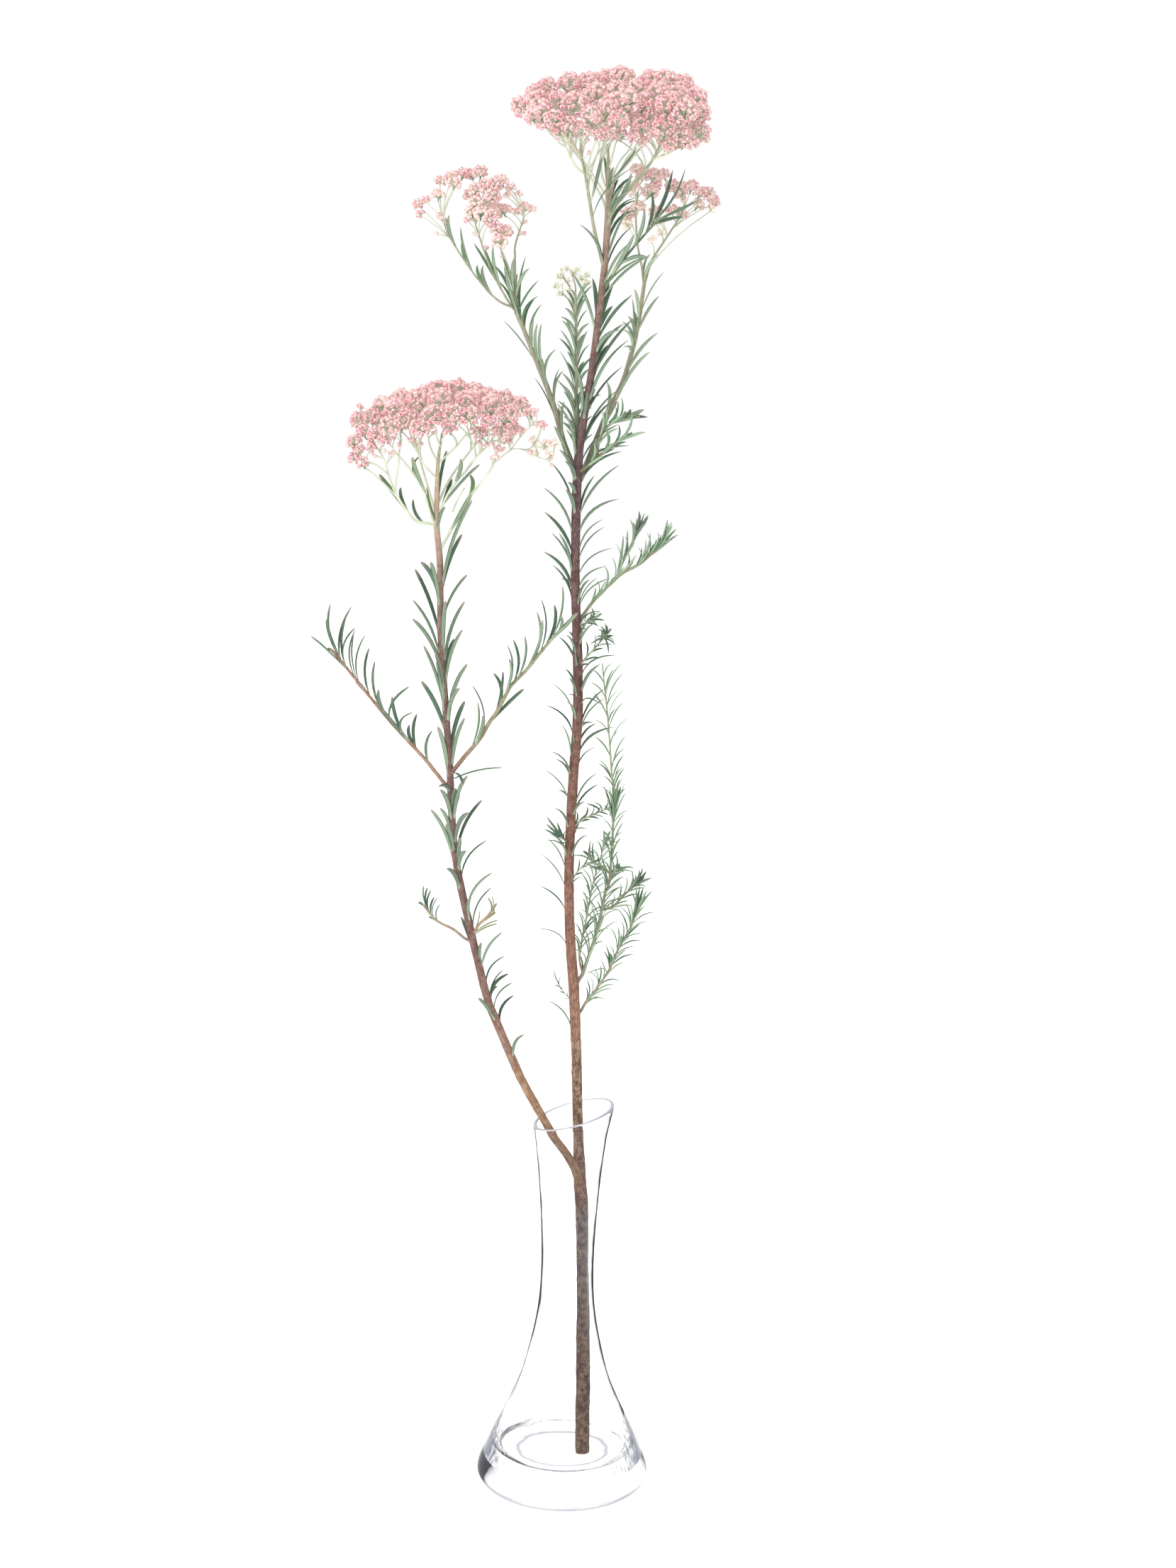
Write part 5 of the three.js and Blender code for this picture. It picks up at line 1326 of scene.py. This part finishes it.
# The stalks of the two large heads as (x, y, z, radius) points, and each head's domes of buds as
# (x, y, z, radius) of a ball. A faint dome is one of dry, colourless buds.
top_stalks = [
    [
        (5, 9, 671, 0.95), (3, 8, 678, 0.9), (-0.8, 5, 692, 0.85), (-3.3, 1, 704.5, 0.8),
        (-6.2, -3, 719.5, 0.75), (-8.3, -6, 728, 0.6), (-9, -8, 737, 0.5),
    ],
    [
        (-6.2, -3, 719, 0.6), (-11, -6, 722.5, 0.6), (-14.5, -9, 728.5, 0.55), (-17, -11, 733.5, 0.5),
        (-20, -13, 741, 0.45),
    ],
    [(-5.6, -3, 719.5, 0.4), (-2.5, -4, 725, 0.4), (0, -6, 730, 0.4), (1.5, -8, 738, 0.35)],
    [(-3.3, 1, 704, 0.45), (-1.2, 0, 712, 0.45), (0, -1, 718, 0.4), (2, -3, 731, 0.4), (4, -5, 739, 0.35)],
    [
        (6, 8.5, 693, 0.95), (8.5, 7, 701.5, 0.9), (14, 4, 709, 0.85), (22.5, -1, 719, 0.8),
        (26.5, -3, 724.5, 0.7), (30, -6, 731, 0.6), (34, -8, 739, 0.5),
    ],
    [(6, 10, 690, 0.8), (4, 17, 705, 0.7), (-6, 24, 722, 0.6), (-14, 28, 738, 0.5)],
    [(6, 10, 696, 0.8), (14, 17, 710, 0.7), (28, 24, 727, 0.6), (38, 26, 740, 0.5)],
    [
        (6, 10, 709, 0.8), (8.5, 9, 717, 0.8), (13, 8, 722.5, 0.75), (20, 8, 731, 0.65),
        (28, 8, 739, 0.6), (40, 7, 747, 0.5),
    ],
    [(6, 10, 707, 0.7), (-6, 12, 724, 0.6), (-20, 10, 742, 0.55), (-28, 8, 748, 0.5)],
    [(6.5, 9.5, 711, 0.5), (9, 7, 721, 0.5), (12, 4, 727, 0.45), (16, 1, 732, 0.4), (19, -2, 740, 0.35)],
    [(28, -4, 727, 0.5), (34, -10, 729, 0.45), (40, -13, 733, 0.4), (44, -14, 738, 0.35)],
    [(-16, -10, 731.5, 0.4), (-21, -10, 735, 0.35), (-26, -10, 741, 0.3)],
    [(6, 10, 710, 0.6), (3, 9, 717, 0.6), (1.8, 8, 724, 0.5), (3.2, 6, 735, 0.45), (4.5, 5, 741, 0.4)],
    [(5.6, 10, 721, 0.5), (7.5, 8, 729, 0.45), (9.5, 5, 737, 0.35)],
    [(5.4, 10, 727, 0.45), (3, 9, 737, 0.4), (-1, 8, 747, 0.35)],
    [(5.2, 10, 731, 0.45), (8, 10, 741, 0.4), (11, 10, 751, 0.35)],
    [(11, 8.4, 720, 0.45), (14, 6, 726, 0.45), (18, 4, 732, 0.4), (23, 2, 740, 0.35)],
]
top_clusters = [
    (-39, 4, 752, 5.8), (-32, 8, 758, 6.5), (-27, 14, 762, 5.5), (-30, -14, 749, 6.8),
    (-21, -4, 754, 6.5), (-22, -20, 745, 5), (-15, 12, 763, 7.3), (-12, -12, 752, 7.2),
    (-14, -22, 742, 4.3), (-4, 12, 764, 7.3), (-4, -24, 747, 5.3), (4, 14, 765, 7.3), (11, 10, 767, 7.3),
    (6, -16, 752, 6.4), (14, -18, 755, 6.8), (0, -24, 738, 3.2), (10, -26, 745, 5.3), (10, 24, 740, 4.4),
    (16, -8, 746, 3.6), (19, 4, 761, 6.5), (22, -12, 754, 5.7), (26, 14, 766, 6.6), (34, 10, 766, 6.9),
    (42, 8, 764, 6.9), (49, 4, 758, 6.5), (51, 0, 751, 6.1), (35, -18, 754, 7.1), (43, -20, 750, 7.1),
    (33, -22, 743, 5.7), (41, -16, 740, 5.7), (51, -4, 741, 6.1), (36, -18, 734, 3.6),
    (29, -18, 739, 3.2), (-31, -3, 754, 6.5), (-2, -2, 758, 7), (9, -3, 759, 7), (30, -3, 759, 7.2),
    (40, -5, 757, 7), (21, -14, 744, 4.2), (23, -10, 736, 2.6), (26, -12, 747, 4.6), (-20, -16, 740, 3.2),
    (-8, -20, 741, 3.4), (5, -22, 739, 3), (18, -16, 738, 2.8), (44, -16, 735, 3.4), (48, -12, 736, 3.2),
    (-34, -8, 746, 3.4), (-27, -12, 742, 2.6),
]
left_stalks = [
    [
        (-77.5, -20.5, 537, 0.75), (-81, -21, 540, 0.75), (-89, -22, 541.5, 0.72),
        (-95.5, -23, 549.5, 0.7), (-99.5, -24, 556, 0.65), (-102.5, -24, 563, 0.6),
        (-104, -25, 568.5, 0.55), (-106.5, -25, 575, 0.5), (-110, -25, 580, 0.45),
    ],
    [
        (-99.5, -24, 556, 0.55), (-99, -25, 563.5, 0.5), (-98, -26, 570, 0.5), (-97.5, -27, 577, 0.45),
        (-96.5, -28, 582.5, 0.4),
    ],
    [(-103.5, -25, 565.5, 0.45), (-107.5, -26, 569, 0.4), (-111, -28, 571, 0.35), (-115, -29, 572.5, 0.35)],
    [
        (-77.5, -20.5, 538, 0.7), (-81, -22, 544, 0.7), (-83.5, -24, 554, 0.65), (-86.5, -26, 561, 0.6),
        (-91, -28, 567.5, 0.55), (-96, -29, 573.5, 0.5), (-99, -30, 577, 0.45), (-102, -30, 581, 0.4),
    ],
    [
        (-78, -21, 563, 0.5), (-81, -23, 566.5, 0.5), (-84.5, -26, 570.5, 0.45), (-87.5, -28, 576, 0.4),
        (-91, -30, 585, 0.35),
    ],
    [(-77.5, -21, 571, 0.45), (-82, -18, 579, 0.4), (-84, -14, 586, 0.35)],
    [
        (-77.5, -21, 543, 0.75), (-75.5, -21, 549, 0.75), (-72, -22, 556.5, 0.7),
        (-67.5, -23, 563.5, 0.65), (-63.5, -24, 568, 0.6), (-58, -26, 575.5, 0.55),
        (-52.5, -28, 581.5, 0.5), (-48.5, -29, 587, 0.45),
    ],
    [
        (-77, -21, 572, 0.5), (-74, -22, 575, 0.5), (-68, -25, 581, 0.45), (-64.5, -27, 585.5, 0.4),
        (-61, -28, 590, 0.35),
    ],
    [
        (-76.5, -20, 526, 0.75), (-68.5, -21, 541, 0.72), (-60.5, -22, 555.5, 0.65),
        (-55, -23, 562.5, 0.6), (-51.5, -23, 567.5, 0.55), (-49, -24, 572.5, 0.5),
        (-46.5, -25, 580.5, 0.4),
    ],
    [(-49, -24, 572.5, 0.45), (-41, -24, 579, 0.4), (-38, -22, 580, 0.35), (-32, -20, 579.5, 0.3)],
    [(-41, -24, 579, 0.35), (-40.5, -25, 586, 0.35)],
    [(-41, -23, 579, 0.35), (-34, -20, 588, 0.35), (-28, -19, 594, 0.3)],
    [(-77.5, -20.5, 541, 0.7), (-82, -14, 554, 0.6), (-88, -6, 571, 0.5), (-92, 0, 584, 0.4)],
    [(-77.5, -20.5, 551, 0.7), (-72, -13, 563, 0.6), (-62, -5, 577, 0.5), (-54, -2, 586, 0.4)],
    [(-32, -20, 579.5, 0.3), (-28, -13, 581, 0.3), (-24, -8, 579, 0.25)],
    [(-33, -20, 579.5, 0.3), (-27, -11, 575.5, 0.25), (-21, -8, 573, 0.25)],
    [(-76.5, -22, 583, 0.4), (-73, -26, 589, 0.35), (-70, -32, 594, 0.3)],
    [(-76.8, -22, 580, 0.4), (-79, -26, 587, 0.35), (-80, -31, 592, 0.3)],
]
left_leaf_twig = [(-70, -21, 546.5, 0.45), (-67.5, -21, 553, 0.4), (-64, -20, 559, 0.35)]
left_clusters = [
    (-121, -24, 581, 3.8), (-118, -26, 577, 3), (-112, -27, 579, 2.4), (-72, -30, 590, 4),
    (-56, -30, 588, 3.4), (-118.5, -20, 599, 1.5), (-119, -16, 592, 4.8), (-116, -24, 586, 4.2),
    (-121, -26, 573, 2.8), (-116, -30, 571, 3.2), (-112, -20, 594, 5), (-110, -28, 585, 4),
    (-107, -14, 599, 5.6), (-98, -10, 602, 6.2), (-102, -36, 590, 5.6), (-105, -30, 583, 3.2),
    (-108, -20, 592, 5), (-93, -34, 594, 6.3), (-87, -10, 603, 7), (-86, -42, 590, 5.2),
    (-79, -8, 606, 7.3), (-69, -8, 607, 7.3), (-79, -40, 596, 6.6), (-69, -42, 597, 6.1),
    (-60, -8, 605, 7.3), (-61, -42, 597, 5.4), (-53, -12, 603, 7.3), (-45, -12, 603, 6.6),
    (-36, -14, 602, 4.4), (-31, -18, 598, 3.2), (-43, -36, 597, 6.1), (-51, -40, 594, 4.3),
    (-45, -34, 589, 4.6), (-37, -30, 590, 3), (-25, -20, 592, 2.6), (-47, -28, 580, 2),
    (-42, -26, 584, 2), (-100, -23, 598, 6.2), (-89, -22, 602, 6.8), (-77, -25, 603, 7),
    (-63, -25, 603, 7), (-51, -25, 601, 6.6), (-41, -25, 598, 5),
]
faint_left_clusters = [
    (-29, -6, 583, 2.2), (-23, -6, 581, 2.6), (-18, -6, 582, 2.2), (-28, -6, 576, 1.5),
    (-21, -6, 576, 1.8),
]
arching_clusters = [
    (-83, 24, 707, 3.7), (-82, 26, 714, 3), (-76, 24, 716, 3.7), (-74, 18, 713, 3.7), (-70, 26, 718, 3.7),
    (-65, 28, 718, 3.7), (-61, 26, 719, 4.1), (-63, 22, 710, 4.1), (-58, 24, 712, 4.4),
    (-53, 20, 713, 4.4), (-50, 28, 715, 3.7), (-54, 18, 707, 4.4), (-63, 22, 704, 4.1),
    (-65, 24, 699, 4.1), (-60, 20, 698, 4.4), (-54, 22, 698, 4.1), (-56, 20, 694, 3), (-52, 22, 691, 4.1),
    (-47, 24, 689, 3.7), (-50, 20, 684, 4.4), (-93, 28, 702, 3), (-89, 28, 704, 2.2), (-38, 32, 702, 3.4),
    (-45, 30, 712, 2.6), (-67, 28, 695, 2.2), (-56, 32, 703, 4.6), (-66, 30, 707, 4.2),
    (-49, 32, 700, 4.2), (-92, 26, 697, 2.2), (-34, 32, 701, 2.2), (-41, 32, 700, 2.2),
    (-41, 31, 709, 1.5), (-47, 28, 708, 1.9), (-46, 30, 701, 1.9),
]
back_clusters = [
    (21, 46, 723, 3.7), (24, 42, 720, 3.7), (30, 44, 720, 4.5), (35, 48, 721, 3.4), (31, 40, 715, 2.6),
    (20, 44, 714, 3), (40, 50, 715, 3.8), (45, 48, 714, 4.1), (50, 48, 715, 4.1), (55, 50, 712, 3.6),
    (59, 52, 712, 3.8), (62, 54, 708, 3.4), (54, 56, 706, 3.4), (44, 52, 711, 3), (22, 54, 704, 3.8),
    (17, 56, 700, 3.8), (32, 56, 702, 3.6), (40, 54, 703, 3), (44, 56, 702, 2.6), (28, 54, 712, 4.5),
]
faint_back_clusters = [
    (17, 56, 695, 3), (32, 56, 697, 3), (34, 56, 697, 2.3), (35, 54, 691, 1.9), (40, 54, 702, 1.9),
    (30, 54, 687, 1.9), (61, 54, 704, 2.3), (19, 44, 713, 2.2),
]
tiny_clusters = [
    (-18, 34, 667, 1.9), (-11, 34, 669, 1.6), (-20, 34, 662, 1.5), (-15, 34, 671, 1.3),
    (-18, 33, 658, 1.3), (-14, 35, 665, 1.3), (-13, 33, 660, 1.1), (-7, 35, 666, 1.4), (-4, 34, 668, 1.3),
    (-3.5, 34, 664, 1.2), (-9, 34, 671, 1.1),
]
for owner, limbs in (("top_head", top_stalks), ("left_head", [*left_stalks, left_leaf_twig])):
    for limb in limbs:
        take_limb(owner, limb)
arching_size = 0.9
arching_clusters = [(x, y, z, arching_size * radius) for x, y, z, radius in arching_clusters]
top_full = mirrored(top_clusters, 8)
left_full = mirrored(left_clusters, -16)


def fading(clusters, low, high):
    """How faded each cluster is, by chance between two shares."""
    return [low + (high - low) * chance(i, 9) for i in range(len(clusters))]


top_buds, top_threads = flower_head(
    "top_head", top_full, top_stalks, fading(top_full, 0, 0.2), pink_buds, bract_leaf, capped_above=748,
    sprig_gap=4, thick=0.6,
)
left_buds, left_threads = flower_head(
    "left_head", left_full + faint_left_clusters, left_stalks,
    fading(left_full, 0, 0.2) + [1.0] * len(faint_left_clusters), pink_buds, bract_leaf, capped_above=597,
    sprig_gap=4, thick=0.6,
)
arching_forks, back_forks, tiny_forks = (
    [limb for limb, _, _ in shoots[name]["limbs"][1:]]
    for name in ("right_arching_shoot", "right_back_shoot", "right_back_left_shoot")
)
arching_buds, arching_threads = flower_head(
    "right_arching_shoot", arching_clusters, arching_forks, fading(arching_clusters, 0.05, 0.55),
    pink_buds, shoot_leaf,
)
back_buds, back_threads = flower_head(
    "right_back_shoot", back_clusters + faint_back_clusters, back_forks,
    fading(back_clusters, 0.05, 0.6) + [0.9] * len(faint_back_clusters), pink_buds, pale_leaf,
)
tiny_buds, tiny_threads = flower_head(
    "right_back_left_shoot", tiny_clusters, tiny_forks, [1.0] * len(tiny_clusters), cream_buds, shoot_leaf,
    size=0.5, thick=0.3,
)
make_piece(
    "top_flower_buds", [top_buds], "flower_buds", "top_head_buds", "top_head_buds_2", "top_head_buds_3"
)
make_piece(
    "left_flower_buds", [left_buds], "flower_buds",
    "left_head_buds", "left_head_buds_2", "left_head_buds_3", "left_head_buds_4",
)
make_piece("arching_flower_buds", [arching_buds], "flower_buds", "arching_head_buds_1", "arching_head_buds_2")
make_piece("back_flower_buds", [back_buds], "flower_buds", "back_head_buds_1", "back_head_buds_2")

# The leaves among the stalks: the limb that carries them, their width, their look and their rows.
top_leaf_rows = [
    (right_main, 1.7, bract_leaf, [(667, 28, 679)]),
    (right_main, 1.6, dark_leaf, [(668, 18, 685.5), (676, 19.5, 694), (681, 18.5, 705), (677, -8.5, 694)]),
    (right_main, 1.1, dark_leaf, [(697, 20, 708), (699, 14, 707), (678, -2, 691)]),
    (right_main, 1.7, withered_leaf, [(703, 9, 715)]),
    (right_main, 2.0, dark_leaf, [(707, 11, 717.5)]),
    (right_main, 1.6, bract_leaf, [(714, 8.5, 723.5), (712, 3, 730)]),
    (right_main, 1.8, dark_leaf, [(700, 19, 712.5), (706, 18.8, 719), (695, 21, 707), (690, 20.5, 702)]),
    (right_main, 2.2, bract_leaf, [(702, 14, 714)]),
    (top_stalks[0], 1.7, dark_leaf, [(702, 18.5, 723.5, -6)]),
    (top_stalks[0], 1.0, bract_leaf, [(693, -3.8, 707), (712, -3.5, 719)]),
    (top_stalks[3], 1.8, dark_leaf, [(712, 2, 728)]),
    (top_stalks[4], 2.0, dark_leaf, [(708, 17.5, 720.5)]),
    (top_stalks[7], 1.2, dark_leaf, [(717, 17.5, 727), (720, 20, 734)]),
]
left_leaf_rows = [
    (left_stalks[0], 2.1, 16, dark_leaf, [(550, -108, 565), (541, -90.5, 552.5), (549, -97, 558.5)]),
    (left_stalks[3], 2.2, 18, bract_leaf, [(541, -83.5, 559), (560, -91, 574.5), (568, -87, 575)]),
    (left_main, 1.8, 20, dark_leaf, [(556, -73.5, 578), (540, -74, 549)]),
    (left_stalks[6], 2.2, 19, dark_leaf, [(555, -56.5, 571.5), (553, -71, 564), (565, -66, 574)]),
    (left_stalks[8], 2.4, 18, bract_leaf, [(541, -60.5, 556), (543, -62.5, 549.5), (557, -61, 566)]),
]
top_leaves, left_head_leaves = [], []
for limb, leaf_width, leaf, rows in top_leaf_rows:
    top_leaves += grow_row("top_head", limb, rows, leaf_width, 28, leaf)
for limb, leaf_width, leaf_reach, leaf, rows in left_leaf_rows:
    left_head_leaves += grow_row("left_head", limb, rows, leaf_width, leaf_reach, leaf)

# Two of the top head's stalks, its first and its fifth, are twigs with bark.
stalk_looks = [shoot_bark if number in (0, 4) else sage_stalk for number in range(len(top_stalks))]
make_piece("top_flower_stalks", [
    limb_skin(right_main, 14, 1.5, head_bark, start=right_top, seed=5),
    *[limb_skin(limb, 8, 2, look) for limb, look in zip(top_stalks, stalk_looks)],
    *top_threads, *top_leaves,
], "flower_stalks", "top_head_stalks")
make_piece("left_flower_stalks", [
    limb_skin(left_main, 14, 1.5, head_bark, start=left_top, seed=6),
    *[limb_skin(limb, 8, 2, sage_stalk) for limb in (*left_stalks, left_leaf_twig)],
    *left_threads, *left_head_leaves,
], "flower_stalks", "left_head_stalks")


# The two stems with their leaves. Narrow leaves stand close together on the brown bark, and six
# short leafy twigs make tufts on the right stem. Leaves grow only where the heads leave room.
right_leaves = []
for rows, leaf_width in (
    (right_left_side, 1.4), (right_left_broad, 2.4), (right_right_side, 1.5), (right_right_broad, 2.4),
):
    right_leaves += grow_row("right_stem", right_main, rows, leaf_width, 19, dark_leaf, roll=0.35)
left_leaves, broad_from = [], 350
for rows in (left_right_side, left_left_side):
    low_rows = [row for row in rows if row[0] < broad_from]
    high_rows = [row for row in rows if row[0] >= broad_from]
    left_leaves += grow_row("left_stem", left_main, low_rows, 1.9, 22, dark_leaf, roll=0.5)
    left_leaves += grow_row("left_stem", left_main, high_rows, 2.4, 24, dark_leaf, roll=0.6)
tuft_shapes = []
for thick, tuft_points, tips in right_tufts:
    tuft_limb = tapered(tuft_points, thick, 0.6 * thick)
    tuft_shapes.append(limb_skin(tuft_limb, 8, 1.5, shoot_bark))
    tuft_shapes += grow_tuft("right_stem", tuft_limb, tips, 2.3 * thick, 11, dark_leaf)
    tuft_shapes += grow_pairs("right_stem", tuft_limb, 2.4, 1.9 * thick, 10 * thick, dark_leaf)
make_piece("right_leafy_stem", [
    limb_skin(right_main, 18, 1.3, stem_bark, scars=0.18, start=right_fork, end=right_top, seed=3),
    *right_leaves, *tuft_shapes,
], "leafy_stem", "right_stem")
make_piece("left_leafy_stem", [
    limb_skin(left_main, 16, 1.3, left_stem_bark, scars=0.18, start=left_fork, end=left_top, seed=4),
    *left_leaves,
], "leafy_stem", "left_stem")


# The side shoots with their leaves, which are greener or paler than those of the stems. Three of
# the shoots carry the stalks of a small flower head of their own, and one has dried up.
twig_bark = bark_material("twig_bark", [
    (0.315, srgb(172, 152, 138)), (0.33, srgb(186, 178, 158)), (0.405, srgb(150, 118, 112)),
    (0.43, srgb(176, 164, 140)), (0.47, srgb(172, 178, 148)),
], speckle=srgb(206, 198, 184), streak=srgb(190, 170, 156), blotch=srgb(226, 220, 214))
outer_bark = bark_material("outer_bark", [
    (0.4, srgb(184, 156, 140)), (0.43, srgb(186, 158, 138)), (0.48, srgb(170, 138, 124)),
], speckle=srgb(206, 194, 180), streak=srgb(190, 170, 156), blotch=srgb(226, 216, 208))
green_bark = bark_material("green_bark", [
    (0.6, srgb(110, 132, 104)), (0.7, srgb(128, 150, 120)),
], speckle=srgb(190, 196, 172), streak=srgb(170, 170, 150), blotch=srgb(226, 226, 220))
dry_bark = bark_material("dry_bark", [
    (0.3, srgb(190, 176, 150)), (0.5, srgb(196, 188, 160)),
], speckle=srgb(214, 200, 176), streak=srgb(200, 180, 150), blotch=srgb(226, 216, 204))
bright_leaf = leaf_material(
    "bright_leaf", above=srgb(120, 158, 124), below=srgb(184, 204, 178), tip=srgb(170, 162, 136),
    foot=srgb(164, 182, 148),
)
dry_leaf = leaf_material(
    "dry_leaf", above=srgb(166, 168, 138), below=srgb(204, 202, 178), tip=srgb(158, 140, 116),
    foot=srgb(190, 180, 150),
)
# Each look is a bark and a leaf. A bright shoot also has leaves in pairs, which stand closer on the
# low twigs, and dark leaves at its tips.
looks = {
    "shoot": (shoot_bark, shoot_leaf), "dark": (twig_bark, dark_leaf), "pale": (shoot_bark, pale_leaf),
    "bright": (shoot_bark, bright_leaf), "dry": (dry_bark, dry_leaf), "green": (green_bark, dark_leaf),
    "outer": (outer_bark, dark_leaf),
}
head_parts = {
    "right_arching_shoot": arching_threads, "right_back_shoot": back_threads,
    "right_back_left_shoot": [tiny_buds, *tiny_threads],
}
for name, shoot in shoots.items():
    width, reach, plane = shoot["width"], shoot["reach"], shoot["plane"]
    bark, leaf = looks[shoot["look"]]
    is_bright = shoot["look"] == "bright"
    tip_leaf = dark_leaf if is_bright else leaf
    parts = []
    for number, (limb, rows, tips) in enumerate(shoot["limbs"]):
        parts.append(limb_skin(limb, 8, 1.5, bark, scars=0.1, seed=len(name)))
        parts += grow_row(name, limb, rows, width, reach, leaf, plane)
        parts += grow_tuft(name, limb, tips, 1.25 * width, reach, tip_leaf, plane)
        if is_bright:
            gap = 3.6 if limb[-1][2] > 420 else 2.2
            parts += grow_pairs(
                name, limb, gap, 0.9 * width, 9.5, leaf, pale_leaf, shoot["pale_from"], start=0.25,
                rise=shoot["rise"],
            )
        elif shoot["rise"] and number == 0:
            parts += grow_pairs(name, limb, 2.6, 1.8, 11, leaf, rise=shoot["rise"])
    parts += head_parts.get(name, [])
    slot = "dry_twig" if shoot["look"] == "dry" else "leafy_shoot"
    make_piece(f"{name}_leaves", parts, slot, name)
